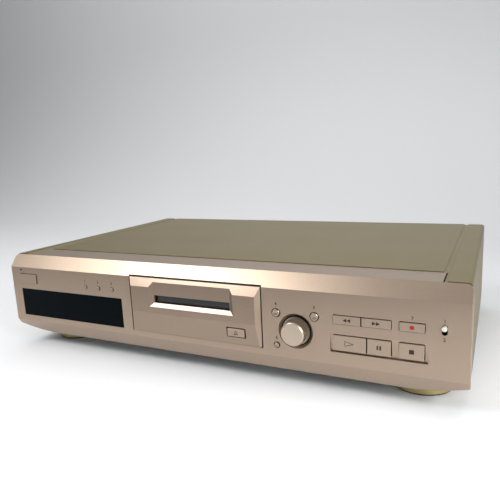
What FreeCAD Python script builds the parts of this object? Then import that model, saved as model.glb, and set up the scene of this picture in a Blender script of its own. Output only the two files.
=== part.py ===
import FreeCAD, Part
import Sketcher
import math
import os
import re

# A full-width minidisc deck. Millimetres. X runs to the right as seen from the front, the front
# faces -Y and Z is up. Every formula below counts x from the middle, y from the main face of the
# front panel towards the back, and z from the surface that the feet stand on.

doc = FreeCAD.newDocument("minidisc_deck")
sheet = doc.addObject("Spreadsheet::Sheet", "Sizes")

SIZES = [
    # Cabinet
    ("panel_width", 430.0, "width of the front panel and of the cover"),
    ("body_depth", 270.0, "main face to the back edge of the cover"),
    ("cover_top", 94.5, "height of the cover above the floor"),
    ("knob_proud", 8.0, "jog knob in front of the main face"),
    ("jack_proud", 8.0, "line jacks behind the back edge"),
    # Front panel
    ("ledge_step", 0.5, "panel top below the cover top"),
    ("upper_crease", 82.7, "height where the main face meets the top band"),
    ("lower_crease", 27.5, "height where the main face meets the lower band"),
    ("band_setback", 8.6, "top edge of the top band behind the main face"),
    ("lip_setback", 8.0, "bottom edge of the lower band behind the main face"),
    ("panel_bottom", 14.2, "bottom edge of the panel"),
    ("panel_rear", 9.6, "rear rim of the panel behind the main face"),
    ("panel_wall", 2.5, "wall of the moulding"),
    ("crease_ease", 0.8, "inner crease short of the outer one"),
    ("corner_round", 5.0, "radius of the top corners"),
    ("end_ease", 0.6, "eased edge at the ends of the panel"),
    ("end_sweep_inset", 47.0, "start of the rising bottom edge to the end of the panel"),
    ("end_sweep_radius", 137.0, "radius of the rising bottom edge"),
    ("ledge_inset", 19.8, "end of the flat ledge to the end of the panel"),
    ("ledge_depth", 36.8, "rear edge of the ledge behind the main face"),
    ("ledge_thick", 2.0, "thickness of the ledge"),
    ("ledge_lip", 5.0, "stiffening lip under the rear edge of the ledge"),
    ("lug_x", 148.0, "outer lugs that meet the pan, from the middle"),
    ("lug_width", 12.0, "width of a lug"),
    ("lug_height", 4.0, "height of a lug"),
    ("lug_seat", 1.2, "lug inside the panel's rim"),
    ("post_radius", 2.6, "board posts inside the panel"),
    ("post_screw", 0.9, "pilot hole in a board post"),
    ("post_inset", 8.0, "outer posts to the end of the panel"),
    ("post_inner_x", 70.2, "inner posts from the middle"),
    ("post_high", 76.5, "upper posts"),
    ("post_low", 40.5, "lower posts"),
    # Cover
    ("sheet_steel", 1.2, "cover, pan and rear panel sheet"),
    ("cover_bend", 3.0, "outer bend radius of the cover"),
    ("cover_gap", 0.4, "gap between the cover and the panel"),
    ("cover_slit", 1.0, "slit between the ledge and the cover margins"),
    ("skirt_bottom", 13.0, "lower edge of the cover sides"),
    ("groove_inset", 19.3, "pressed grooves to the end of the panel"),
    ("cover_inset", 1.0, "cover side behind the end of the panel"),
    ("groove_width", 5.2, "width of a groove at the top"),
    ("groove_flat", 2.8, "width of a groove at its floor"),
    ("groove_depth", 0.8, "depth of a groove"),
    ("front_flange", 5.0, "flange bent down behind the ledge"),
    ("rear_lip", 11.0, "lip bent down over the rear panel"),
    ("rear_screw_inset", 30.0, "outer rear screws to the end of the panel"),
    ("screw_radius", 1.5, "shank of a cover screw"),
    ("screw_head", 3.2, "head radius of a cover screw"),
    ("screw_head_thick", 1.8, "head thickness of a cover screw"),
    ("screw_length", 5.0, "shank length of a cover screw"),
    ("screw_clearance", 0.3, "hole radius over a screw shank"),
    # Chassis pan and rear panel
    ("pan_setback", 3.9, "pan behind the rear rim of the panel"),
    ("pan_gap", 0.3, "pan flange to cover side"),
    ("pan_flange", 46.0, "top of the pan side flanges"),
    ("pan_front_flange", 30.0, "top of the pan front flange"),
    ("seat_gap", 0.2, "sheet to sheet clearance at a seat"),
    ("bead_height", 1.6, "height of the pressed beads"),
    ("bead_width", 8.0, "width of the pressed beads"),
    ("bead_x", 62.0, "left bead from the middle"),
    ("bead_right", 50.0, "right bead from the middle"),
    ("bead_clear", 14.0, "beads to the bracket and to the rear edge"),
    ("vent_width", 3.0, "width of a floor vent"),
    ("vent_length", 44.0, "length of a floor vent"),
    ("vent_pitch", 8.0, "pitch of the floor vents"),
    ("vent_count", 8, "number of floor vents"),
    # Feet
    ("foot_height", 12.0, "floor to the underside of the pan"),
    ("foot_radius", 24.4, "outer radius of a foot"),
    ("foot_inset", 36.7, "feet to the end of the panel"),
    ("foot_front", 51.3, "front feet behind the main face"),
    ("foot_rear_inset", 44.0, "rear feet to the back edge"),
    ("corner_relief", 27.0, "front edge of the pan's and cover's lower corners"),
    ("relief_height", 24.0, "top of those relieved corners"),
    ("foot_bevel", 1.6, "bevel round the top of a foot"),
    ("foot_well", 6.0, "radius of the screw well in a foot"),
    ("foot_web", 4.0, "thickness of the web over the screw well"),
    ("pad_thick", 1.6, "rubber ring under a foot"),
    ("pad_outer", 23.2, "outer radius of the rubber ring"),
    ("pad_inner", 14.0, "inner radius of the rubber ring"),
    ("foot_screw", 2.0, "shank radius of a foot screw"),
    ("foot_screw_head", 4.2, "head radius of a foot screw"),
    # Display side
    ("window_inset_x", 12.3, "display window to the end of the panel"),
    ("window_clear", 10.6, "display window to the opening for the disc block"),
    ("window_low", 33.2, "lower edge of the display window"),
    ("window_high", 60.9, "upper edge of the display window"),
    ("window_thick", 2.0, "thickness of the window plate"),
    ("window_inset", 0.3, "window face behind the main face"),
    ("fit_gap", 0.15, "window and lens to their holes"),
    ("rim", 1.2, "retaining rim of a window or a key"),
    ("rim_thick", 0.9, "thickness of that rim"),
    ("power_inset", 12.1, "power button hole to the end of the panel"),
    ("power_width", 22.9, "width of the power button hole"),
    ("power_low", 66.2, "lower edge of the power button hole"),
    ("power_high", 76.5, "upper edge of the power button hole"),
    ("lens_inset", 14.1, "standby lens to the end of the panel"),
    ("lens_z", 80.1, "standby lens height"),
    ("lens_radius", 0.9, "standby lens"),
    ("small_first_x", -117.0, "first of the three small buttons"),
    ("small_pitch", 15.8, "pitch of the three small buttons"),
    ("small_z", 68.4, "height of the three small buttons"),
    ("small_hole", 2.3, "hole radius of a small button"),
    ("tube_inset", 10.7, "display tube inside the window's ends"),
    ("tube_low", 36.0, "lower edge of the display tube"),
    ("tube_high", 58.0, "upper edge of the display tube"),
    ("tube_thick", 6.0, "thickness of the display tube"),
    # Boards behind the panel
    ("board_y", 11.0, "front of the boards behind the main face"),
    ("board_thick", 1.6, "boards"),
    ("board_low", 32.0, "lower edge of the front boards"),
    ("board_high", 80.0, "upper edge of the front boards"),
    ("board_inset", 5.5, "outer end of the front boards to the end of the panel"),
    ("board_inner", 67.6, "inner end of the front boards"),
    ("tongue_end", 30.0, "inner end of the tongue behind the eject button"),
    ("tongue_high", 52.5, "upper edge of that tongue"),
    ("switch_size", 6.0, "side of a push switch"),
    ("switch_thick", 3.5, "push switch with its plunger"),
    # Keys and buttons
    ("key_gap", 0.4, "key to the edge of its hole"),
    ("key_travel", 1.0, "travel of a key"),
    ("key_proud", 0.9, "key face in front of the main face"),
    ("key_slack", 0.2, "key rim to the panel and stem to the switch"),
    ("key_round", 0.9, "corner radius of keys and their holes"),
    ("key_edge", 0.3, "softened edge of a key face"),
    ("stem_radius", 1.6, "stem behind a key"),
    ("keys_left", 121.3, "left edge of the transport keys"),
    ("keys_inset", 28.9, "right edge of the transport keys to the end of the panel"),
    ("column_gap", 4.75, "between the two columns of keys"),
    ("second_column", 17.7, "width of the right column of keys"),
    ("search_share", 0.494, "share of the left column taken by the rewind key"),
    ("play_share", 0.59, "share of the left column taken by the play key"),
    ("upper_keys_low", 59.5, "lower edge of the upper row"),
    ("upper_keys_high", 66.7, "upper edge of the upper row"),
    ("lower_keys_low", 39.2, "lower edge of the lower row"),
    ("lower_keys_high", 51.6, "upper edge of the lower row"),
    ("scoop_margin", 2.1, "recess beyond the lower row on either side"),
    ("scoop_low", 37.6, "lower edge of that recess"),
    ("scoop_high", 52.6, "upper edge of that recess"),
    ("scoop_depth", 1.9, "depth of that recess at its lower edge"),
    ("scoop_backing", 1.8, "extra wall behind that recess"),
    ("round_gap", 0.65, "round button to the edge of its hole"),
    ("small_gap", 0.45, "small button to the edge of its hole"),
    ("round_hole", 3.7, "hole radius of a round button"),
    ("round_left_step", 15.7, "knob to the round buttons on its left"),
    ("round_right_step", 15.2, "knob to the round button on its right"),
    ("round_high", 63.2, "upper round buttons"),
    ("round_low", 37.1, "lower round button"),
    ("clear_hole", 2.7, "hole radius of the lower round button"),
    # Jog knob
    ("knob_shift", 0.85, "knob left of the middle between disc block and keys"),
    ("knob_z", 50.0, "knob height"),
    ("well_radius", 14.0, "rim of the dished well round the knob"),
    ("well_hole", 12.2, "hole in the middle of that well"),
    ("knob_radius", 9.2, "front of the knob"),
    ("knob_base", 9.6, "back of the knob"),
    ("knob_bevel", 0.7, "bevel round the knob's face"),
    ("knob_flange", 11.0, "flange at the back of the knob"),
    ("flange_start", 0.9, "flange behind the main face"),
    ("flange_thick", 1.0, "thickness of that flange"),
    ("knob_wall", 1.8, "wall of the knob"),
    ("knob_boss", 4.5, "boss inside the knob"),
    ("shaft_radius", 3.0, "encoder shaft"),
    ("running_gap", 0.05, "radial clearance of a shaft in its bore"),
    ("jog_travel", 0.6, "push travel of the knob"),
    ("encoder_half", 6.5, "half width of the encoder"),
    ("encoder_thick", 6.4, "thickness of the encoder"),
    ("plunger_radius", 2.5, "plunger behind the shaft"),
    ("plunger_thick", 0.8, "thickness of the plunger"),
    # Input switch
    ("selector_inset", 16.9, "input switch to the end of the panel"),
    ("selector_low", 59.6, "lower end of the switch slot"),
    ("selector_high", 66.9, "upper end of the switch slot"),
    ("selector_half", 1.9, "half width of the switch slot"),
    ("selector_round", 1.8, "corner radius of the switch slot"),
    ("selector_ball", 1.7, "radius of the switch knob"),
    ("selector_proud", 1.5, "middle of the switch knob in front of the face"),
    ("selector_stem", 0.9, "half width of the switch lever"),
    ("selector_travel", 2.6, "travel of the switch"),
    ("selector_body", 5.0, "half width of the switch body"),
    # Disc block
    ("bay_half", 64.4, "half width of the opening for the disc block"),
    ("bay_low", 32.8, "lower edge of that opening"),
    ("bay_high", 84.0, "upper edge of that opening"),
    ("bay_gap", 0.85, "disc block to its opening"),
    ("block_proud", 4.0, "disc block in front of the main face"),
    ("block_foot_proud", 1.6, "lower edge of the block in front of the main face"),
    ("block_top_crease", 75.4, "lower edge of the block's top chamfer"),
    ("block_low_crease", 52.3, "height below which the block leans back"),
    ("block_side", 3.6, "width of the block's side chamfers"),
    ("block_rear", 5.0, "rear of the block behind the main face"),
    ("block_flange", 1.9, "flange of the block behind the panel"),
    ("block_flange_thick", 1.4, "thickness of that flange"),
    ("mouth_floor", 1.7, "recess floor in front of the main face"),
    ("recess_half", 40.8, "half width of the recess at the block's face"),
    ("recess_floor_half", 37.3, "half width of the recess at its floor"),
    ("recess_low", 58.1, "front edge of the recess ramp"),
    ("slot_half", 36.9, "half width of the disc slot"),
    ("slot_low", 61.2, "lower edge of the disc slot"),
    ("slot_high", 68.0, "upper edge of the disc slot"),
    ("throat_start", 0.4, "front of the throat behind the slot"),
    ("throat_rear", 9.4, "rear of the throat"),
    ("throat_half", 38.3, "half width of the throat"),
    ("throat_low", 60.7, "floor of the throat"),
    ("throat_high", 72.6, "roof of the throat"),
    ("throat_wall", 2.4, "wall round the throat"),
    ("flap_axis_y", 1.8, "hinge of the flap behind the main face"),
    ("flap_axis_z", 71.2, "height of the flap's hinge"),
    ("flap_barrel", 1.1, "radius of the flap's barrel"),
    ("flap_thick", 0.9, "thickness of the flap"),
    ("flap_pin", 0.8, "radius of the flap's pins"),
    ("flap_pin_length", 1.6, "length of a flap pin"),
    ("flap_drop", 9.6, "hinge to the lower edge of the flap"),
    ("eject_gap", 1.0, "eject button to the edge of its hole"),
    ("eject_left", 33.6, "left edge of the eject hole"),
    ("eject_right", 50.9, "right edge of the eject hole"),
    ("eject_low", 39.6, "lower edge of the eject hole"),
    ("eject_high", 48.2, "upper edge of the eject hole"),
    ("eject_proud", 3.6, "eject button in front of the main face"),
    # Cartridge holder
    ("holder_front", 13.6, "front of the cartridge holder"),
    ("holder_length", 70.4, "length of the cartridge holder"),
    ("holder_half", 36.6, "half of the holder's inner width"),
    ("holder_floor", 61.9, "inner floor of the raised holder"),
    ("holder_inner", 5.6, "inner height of the holder"),
    ("holder_sheet", 1.0, "sheet of the holder"),
    ("window_half", 24.0, "half width of the holder's lower window"),
    ("window_start", 20.0, "lower window behind the holder's front"),
    ("head_window_half", 12.0, "half width of the holder's upper window"),
    ("head_window_start", 42.0, "upper window behind the holder's front"),
    ("holder_drop", 5.0, "drop of the holder"),
    ("slide_travel", 10.0, "travel of the loading slide"),
    ("guide_pin", 1.5, "radius of the holder's guide pins"),
    ("guide_gap", 0.15, "guide pin to its slot"),
    ("guide_front", 26.0, "front guide pins behind the main face"),
    ("guide_rear", 72.0, "rear guide pins behind the main face"),
    ("guide_z", 64.7, "height of the guide pins"),
    # Mechanism bracket
    ("wall_in", 38.6, "inner face of the bracket walls"),
    ("wall_sheet", 1.2, "sheet of the bracket"),
    ("wall_top", 69.6, "top of the bracket walls"),
    ("bracket_front", 15.4, "front of the bracket"),
    ("bracket_rear", 128.0, "rear of the bracket"),
    ("deck_z", 46.0, "underside of the bracket's deck"),
    ("bracket_foot", 9.0, "width of the bracket's feet"),
    ("slide_gap", 0.3, "loading slide to the bracket"),
    ("slide_sheet", 1.4, "sheet of the loading slide"),
    ("slide_low", 50.0, "lower edge of the loading slide"),
    ("slide_bridge", 70.4, "underside of the slide's bridge"),
    ("slide_front", 16.0, "front of the loading slide"),
    ("slide_rear", 92.0, "rear of the loading slide"),
    ("bridge_length", 14.0, "length of the slide's bridge"),
    # Loading gears
    ("gear_module", 0.8, "module of the rack and gears"),
    ("gear_teeth", 24, "teeth of the loading gear"),
    ("pinion_teeth", 10, "teeth of the motor pinion"),
    ("gear_width", 3.0, "face width of the gears"),
    ("gear_y", 48.0, "loading gear behind the main face"),
    ("backlash", 0.12, "tooth thickness taken off each flank pair"),
    ("stud_radius", 1.5, "stud under the loading gear"),
    ("motor_radius", 10.0, "loading motor"),
    ("motor_length", 20.0, "length of the loading motor"),
    ("motor_shaft", 1.0, "motor shafts"),
    # Spindle and pickup
    ("spindle_y", 50.0, "spindle behind the main face"),
    ("spindle_motor", 12.0, "radius of the spindle motor"),
    ("spindle_motor_thick", 4.4, "height of the spindle motor"),
    ("table_radius", 9.0, "radius of the turntable"),
    ("table_gap", 0.3, "turntable over the motor"),
    ("table_thick", 2.6, "thickness of the turntable"),
    ("boss_radius", 5.4, "centring boss"),
    ("boss_height", 3.6, "height of the centring boss"),
    ("rod_radius", 1.5, "sled guide rods"),
    ("rod_x", 21.0, "guide rods from the middle"),
    ("rod_z", 51.2, "height of the guide rods"),
    ("rod_front", 64.0, "front of the guide rods"),
    ("rod_rear", 108.0, "rear of the guide rods"),
    ("sled_half", 25.0, "half width of the pickup sled"),
    ("sled_front", 67.0, "front of the pickup sled"),
    ("sled_length", 22.0, "length of the pickup sled"),
    ("sled_low", 48.6, "underside of the pickup sled"),
    ("sled_high", 54.4, "top of the pickup sled"),
    ("sled_travel", 14.0, "travel of the pickup sled"),
    ("lens_barrel", 3.0, "radius of the objective"),
    ("lens_height", 1.6, "objective above the sled"),
    ("screw_x", 31.0, "lead screw from the middle"),
    ("lead_radius", 1.4, "lead screw"),
    ("sled_motor_radius", 5.5, "sled motor"),
    ("sled_motor_length", 15.0, "length of the sled motor"),
    ("arm_axis_z", 73.4, "hinge of the recording head arm"),
    ("arm_half", 3.6, "half width of the head arm's barrel"),
    ("arm_pin", 1.0, "radius of the head arm's pin"),
    ("arm_barrel", 2.0, "radius of the head arm's barrel"),
    ("arm_ear", 1.4, "thickness of an ear"),
    ("arm_reach", 22.0, "head arm's reach"),
    # Electronics
    ("main_inset", 11.0, "main board to the end of the panel"),
    ("main_width", 142.0, "width of the main board"),
    ("main_depth", 168.0, "depth of the main board"),
    ("main_clear", 20.0, "main board to the back edge"),
    ("board_corner", 6.0, "board spacers from the corners of a board"),
    ("chip_side", 24.0, "side of the largest chip"),
    ("chip_thick", 2.4, "thickness of a chip"),
    ("can_radius", 5.0, "radius of a middle-sized capacitor"),
    ("can_height", 14.0, "height of a middle-sized capacitor"),
    ("sink_width", 38.0, "width of the heat sink"),
    ("sink_height", 34.0, "height of the heat sink"),
    ("sink_depth", 11.0, "depth of the heat sink's fins"),
    ("fin_thick", 1.2, "thickness of a fin"),
    ("fin_count", 6, "number of fins"),
    ("main_z", 22.0, "underside of the main board"),
    ("supply_inset", 9.0, "supply board to the end of the panel"),
    ("supply_width", 94.0, "width of the supply board"),
    ("supply_depth", 70.0, "depth of the supply board"),
    ("supply_clear", 12.0, "supply board to the winding behind it"),
    ("spacer_radius", 3.2, "board spacers on the pan"),
    ("core_width", 66.0, "transformer core width"),
    ("core_depth", 34.0, "transformer core stack"),
    ("core_height", 54.0, "transformer core height"),
    ("core_inset", 55.0, "transformer to the end of the panel"),
    ("core_clear", 72.0, "transformer to the back edge"),
    ("core_ear", 9.0, "transformer foot beside the core"),
    ("core_foot", 16.0, "depth of the transformer's feet"),
    ("core_limb", 11.0, "outer limbs and yokes of the core"),
    ("winding_gap", 0.5, "winding to the core"),
    ("winding_bulge", 11.0, "winding outside the core"),
    # Rear sockets
    ("jack_inset", 47.0, "middle of the line jacks to the end of the panel"),
    ("jack_pitch_x", 15.0, "line jacks side by side"),
    ("jack_pitch_z", 18.0, "line jacks one above the other"),
    ("jack_z", 52.0, "middle height of the line jacks"),
    ("jack_block_depth", 12.0, "depth of the jack block"),
    ("jack_collar", 5.4, "collar radius of a line jack"),
    ("jack_shell", 4.15, "outer radius of a jack's metal shell"),
    ("jack_core", 3.3, "insulator radius inside the shell"),
    ("jack_bore", 1.65, "contact bore of a line jack"),
    ("jack_margin", 7.5, "jack block round the line jacks"),
    ("collar_proud", 0.8, "jack collars behind the back edge"),
    ("shell_short", 0.5, "metal shell short of the insulator"),
    ("optic_x", 112.0, "middle of the optical sockets"),
    ("optic_pitch", 18.0, "optical sockets side by side"),
    ("optic_z", 50.0, "height of the optical sockets"),
    ("optic_half", 6.0, "half width of an optical socket"),
    ("optic_mouth", 4.2, "half width of an optical socket's mouth"),
    ("optic_depth", 8.0, "depth of an optical socket's mouth"),
    ("optic_fibre", 1.2, "radius of the fibre hole"),
    ("gland_inset", 30.0, "mains cord gland to the end of the panel"),
    ("gland_z", 38.0, "height of the mains cord gland"),
    ("gland_radius", 6.5, "gland in the rear panel"),
    ("gland_flange", 9.0, "flange of the gland"),
    ("gland_bore", 3.6, "cord hole in the gland"),
]

for row, (alias, number, note) in enumerate(SIZES, start=1):
    sheet.set("A%d" % row, note)
    sheet.set("B%d" % row, str(number))
    sheet.setAlias("B%d" % row, alias)
ALIASES = {alias for alias, number, note in SIZES}
doc.recompute()

# Places that follow from the sizes above
DERIVED = {
    "first_column": "(panel_width / 2 - keys_inset - second_column - column_gap - keys_left)",
    "scoop_left": "(keys_left - scoop_margin)",
    "scoop_right": "(panel_width / 2 - keys_inset + scoop_margin)",
    "knob_x": "((bay_half + keys_left) / 2 - knob_shift)",
    "round_left_x": "((bay_half + keys_left) / 2 - knob_shift - round_left_step)",
    "round_right_x": "((bay_half + keys_left) / 2 - knob_shift + round_right_step)",
    "ledge_half": "(panel_width / 2 - ledge_inset)",
    "end_sweep_start": "(panel_width / 2 - end_sweep_inset)",
    "post_outer_x": "(panel_width / 2 - post_inset)",
    "groove_x": "(panel_width / 2 - groove_inset)",
    "rear_screw_pitch": "(panel_width / 2 - rear_screw_inset)",
    "foot_x": "(panel_width / 2 - foot_inset)",
    "foot_rear": "(body_depth - foot_rear_inset)",
    "window_left": "(window_inset_x - panel_width / 2)",
    "window_right": "(-1 * bay_half - window_clear)",
    "power_left": "(power_inset - panel_width / 2)",
    "power_right": "(power_inset - panel_width / 2 + power_width)",
    "lens_x": "(lens_inset - panel_width / 2)",
    "tube_left": "(window_inset_x + tube_inset - panel_width / 2)",
    "tube_right": "(-1 * bay_half - window_clear - tube_inset)",
    "board_end": "(panel_width / 2 - board_inset)",
    "keys_middle": "(panel_width / 2 - keys_inset - second_column - column_gap)",
    "keys_second": "(panel_width / 2 - keys_inset - second_column)",
    "keys_right": "(panel_width / 2 - keys_inset)",
    "search_split": "(keys_left + first_column * search_share)",
    "play_split": "(keys_left + first_column * play_share)",
    "selector_x": "(panel_width / 2 - selector_inset)",
    "main_right": "(panel_width / 2 - main_inset)",
    "main_left": "(panel_width / 2 - main_inset - main_width)",
    "main_rear": "(body_depth - main_clear)",
    "main_front": "(body_depth - main_clear - main_depth)",
    "supply_left": "(supply_inset - panel_width / 2)",
    "supply_right": "(supply_inset - panel_width / 2 + supply_width)",
    "supply_front": "(core_y - core_depth / 2 - winding_bulge - supply_clear - supply_depth)",
    "supply_rear": "(core_y - core_depth / 2 - winding_bulge - supply_clear)",
    "core_x": "(core_inset - panel_width / 2)",
    "core_y": "(body_depth - core_clear)",
    "jack_x": "(panel_width / 2 - jack_inset)",
    "gland_x": "(gland_inset - panel_width / 2)",
}

# Formulas that several sub-parts share
PANEL_TOP = "(cover_top - ledge_step)"
HALF = "(panel_width / 2)"
COVER_HALF = "(panel_width / 2 - cover_inset)"
PAN_HALF = "(panel_width / 2 - cover_inset - sheet_steel - pan_gap)"
PAN_TOP = "(foot_height + sheet_steel)"
PAN_FRONT = "(panel_rear + pan_setback)"
REAR_PANEL = "(body_depth - 2 * sheet_steel - seat_gap)"
PAN_REAR = "(body_depth - 2 * sheet_steel - 2 * seat_gap)"
SWITCH_FACE = "(board_y - switch_thick)"
SLIDE_IN = "(wall_in + wall_sheet + slide_gap)"
GEAR_Z = "(slide_low - 1.25 * gear_module - gear_module * gear_teeth / 2)"
PINION_STEP = "(gear_module * (gear_teeth + pinion_teeth) / 2 * sqrt(0.5))"
DECK_TOP = "(deck_z + wall_sheet)"
# The row's origin lies under the middle of the whole deck, knob and jacks included
TO_MIDDLE = "(knob_proud - jack_proud - body_depth) / 2"

NODES = []


def bound(formula):
    """The formula with every size read from the sheet."""
    spelled = str(formula)
    while DERIVED.keys() & set(re.findall(r"[a-z_]+", spelled)):
        spelled = re.sub(r"[a-z_]+", lambda word: DERIVED.get(word.group(0), word.group(0)), spelled)
    return re.sub(r"[a-z_]+", lambda word: "Sizes." + word.group(0)
                  if word.group(0) in ALIASES else word.group(0), spelled)


def value(formula):
    return float(sheet.evalExpression(bound(formula)))


def node(name, thing, x="0", y="0", z="0"):
    """Give a finished sub-part its name and its place in the deck."""
    thing.Label = name
    thing.setExpression("Placement.Base.x", bound(x))
    thing.setExpression("Placement.Base.y", bound("%s + %s" % (y, TO_MIDDLE)))
    thing.setExpression("Placement.Base.z", bound(z))
    NODES.append(thing)
    return thing


# Sketched bodies

def new_body(name):
    return doc.addObject("PartDesign::Body", name + "_body")


def rect(x0, z0, x1, z1):
    return [(x0, z0), (x1, z0), (x1, z1), (x0, z1)]


def disc(x, z, radius):
    return (x, z, radius)


def draw(sketch, shape):
    """Add one closed outline, or one circle, with its sizes bound to the sheet."""
    first = len(sketch.Geometry)
    if isinstance(shape, tuple):
        x, z, radius = shape
        centre = FreeCAD.Vector(value(x), value(z), 0)
        sketch.addGeometry(Part.Circle(centre, FreeCAD.Vector(0, 0, 1), value(radius)))
        limits = [("DistanceX", (-1, 1, first, 3), x), ("DistanceY", (-1, 1, first, 3), z),
                  ("Radius", (first,), radius)]
    else:
        corners = [FreeCAD.Vector(value(x), value(z), 0) for x, z in shape]
        count = len(corners)
        for index, corner in enumerate(corners):
            sketch.addGeometry(Part.LineSegment(corner, corners[(index + 1) % count]))
        for index in range(count):
            after = first + (index + 1) % count
            sketch.addConstraint(Sketcher.Constraint("Coincident", first + index, 2, after, 1))
        limits = []
        for index, (x, z) in enumerate(shape):
            limits.append(("DistanceX", (-1, 1, first + index, 1), x))
            limits.append(("DistanceY", (-1, 1, first + index, 1), z))
    for kind, where, formula in limits:
        number = sketch.addConstraint(Sketcher.Constraint(kind, *where, value(formula)))
        sketch.setExpression("Constraints[%d]" % number, bound(formula))


def sketch_on(body, name, plane, level, shapes):
    """A sketch on one of the body's own planes, at the given level along its axis."""
    sketch = body.newObject("Sketcher::SketchObject", name)
    origin = [item for item in body.Origin.OriginFeatures if item.Role == plane]
    sketch.AttachmentSupport = [(origin[0], "")]
    sketch.MapMode = "FlatFace"
    side = "-1 * " if plane == "XZ_Plane" else ""
    sketch.setExpression("AttachmentOffset.Base.z", bound("%s(%s)" % (side, level)))
    for shape in shapes:
        draw(sketch, shape)
    return sketch


def solid(body, name, plane, low, high, *shapes):
    """Pad the shapes from one level to another along the plane's axis."""
    start = high if plane == "XZ_Plane" else low
    feature = body.newObject("PartDesign::Pad", name)
    feature.Profile = sketch_on(body, name + "_sketch", plane, start, shapes)
    feature.setExpression("Length", bound("(%s) - (%s)" % (high, low)))
    doc.recompute()
    return feature


def hollow(body, name, plane, low, high, *shapes):
    """Cut the shapes from one level to another along the plane's axis."""
    start = low if plane == "XZ_Plane" else high
    feature = body.newObject("PartDesign::Pocket", name)
    feature.Profile = sketch_on(body, name + "_sketch", plane, start, shapes)
    feature.setExpression("Length", bound("(%s) - (%s)" % (high, low)))
    doc.recompute()
    return feature


def turn(body, name, shape):
    """Revolve a profile, given as depth and radius, round the body's Y axis."""
    feature = body.newObject("PartDesign::Revolution", name)
    sketch = sketch_on(body, name + "_sketch", "YZ_Plane", "0", [shape])
    feature.Profile = sketch
    feature.ReferenceAxis = (sketch, ["H_Axis"])
    feature.Angle = 360
    doc.recompute()
    return feature


def turn_upright(body, name, shape):
    """Revolve a profile, given as radius and height, round the body's Z axis."""
    feature = body.newObject("PartDesign::Revolution", name)
    sketch = sketch_on(body, name + "_sketch", "XZ_Plane", "0", [shape])
    feature.Profile = sketch
    feature.ReferenceAxis = (sketch, ["V_Axis"])
    feature.Angle = 360
    doc.recompute()
    return feature


def dress(body, kind, name, feature, size, rule):
    """Fillet or chamfer the edges of a feature that the rule picks."""
    names = ["Edge%d" % (number + 1) for number, edge in enumerate(feature.Shape.Edges) if rule(edge)]
    dressed = body.newObject("PartDesign::" + kind, name)
    dressed.Base = (feature, names)
    dressed.setExpression("Radius" if kind == "Fillet" else "Size", bound(size))
    doc.recompute()
    return dressed


def along(edge, axis):
    """True for a straight edge that runs along the axis given by its number."""
    if edge.Curve.TypeId != "Part::GeomLine" or len(edge.Vertexes) < 2:
        return False
    ends = [vertex.Point for vertex in edge.Vertexes]
    run = ends[1] - ends[0]
    return abs(abs(run[axis]) - run.Length) < 1e-6


def at(edge, axis, *levels):
    """True when the edge's middle lies at one of the levels along the axis."""
    middle = edge.CenterOfMass[axis]
    return any(abs(middle - level) < 1e-3 for level in levels)


# Primitives and booleans

TURNS = {"x": FreeCAD.Rotation(FreeCAD.Vector(0, 1, 0), 90),
         "y": FreeCAD.Rotation(FreeCAD.Vector(1, 0, 0), -90),
         "z": FreeCAD.Rotation()}


def put(thing, x, y, z):
    thing.setExpression("Placement.Base.x", bound(x))
    thing.setExpression("Placement.Base.y", bound(y))
    thing.setExpression("Placement.Base.z", bound(z))
    return thing


def block(name, low, high):
    """A box between two corners."""
    thing = doc.addObject("Part::Box", name)
    for side, start, end in zip(("Length", "Width", "Height"), low, high):
        thing.setExpression(side, bound("(%s) - (%s)" % (end, start)))
    return put(thing, *low)


def rod(name, start, radius, length, axis="z"):
    """A cylinder that starts at a point and runs along one axis."""
    thing = doc.addObject("Part::Cylinder", name)
    thing.Placement.Rotation = TURNS[axis]
    thing.setExpression("Radius", bound(radius))
    thing.setExpression("Height", bound(length))
    return put(thing, *start)


def fuse(name, *things):
    thing = doc.addObject("Part::MultiFuse", name)
    thing.Shapes = list(things)
    return thing


def cut(name, base, *tools):
    thing = doc.addObject("Part::Cut", name)
    thing.Base = base
    thing.Tool = tools[0] if len(tools) == 1 else fuse(name + "_tools", *tools)
    return thing


def group(name, *things):
    thing = doc.addObject("Part::Compound", name)
    thing.Links = list(things)
    return thing


# Front panel: one moulding with two creases, a ledge on top and rising lower corners

POSTS = [("-post_outer_x", "post_high"), ("-post_outer_x", "post_low"),
         ("-post_inner_x", "post_high"), ("-post_inner_x", "post_low"),
         ("post_inner_x", "post_high"), ("post_outer_x", "post_high"),
         ("post_outer_x", "post_low"), ("(knob_x + round_right_x) / 2 + well_radius", "post_low - 6")]


def corner_cutter(name, x, z, radius, up):
    """What a rounded corner takes off: a square less a circle about the point x, z."""
    low, high = (z, "%s + %s + 1" % (z, radius)) if up else ("%s - %s - 1" % (z, radius), z)
    square = block(name + "_square", (x, "-1", low), ("%s + %s + 1" % (x, radius), "panel_rear + 1", high))
    circle = rod(name + "_circle", (x, "-2", z), radius, "panel_rear + 4", "y")
    return cut(name, square, circle)


def mirrored(name, source):
    thing = doc.addObject("Part::Mirroring", name)
    thing.Source = source
    thing.Normal = FreeCAD.Vector(1, 0, 0)
    return thing


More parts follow.
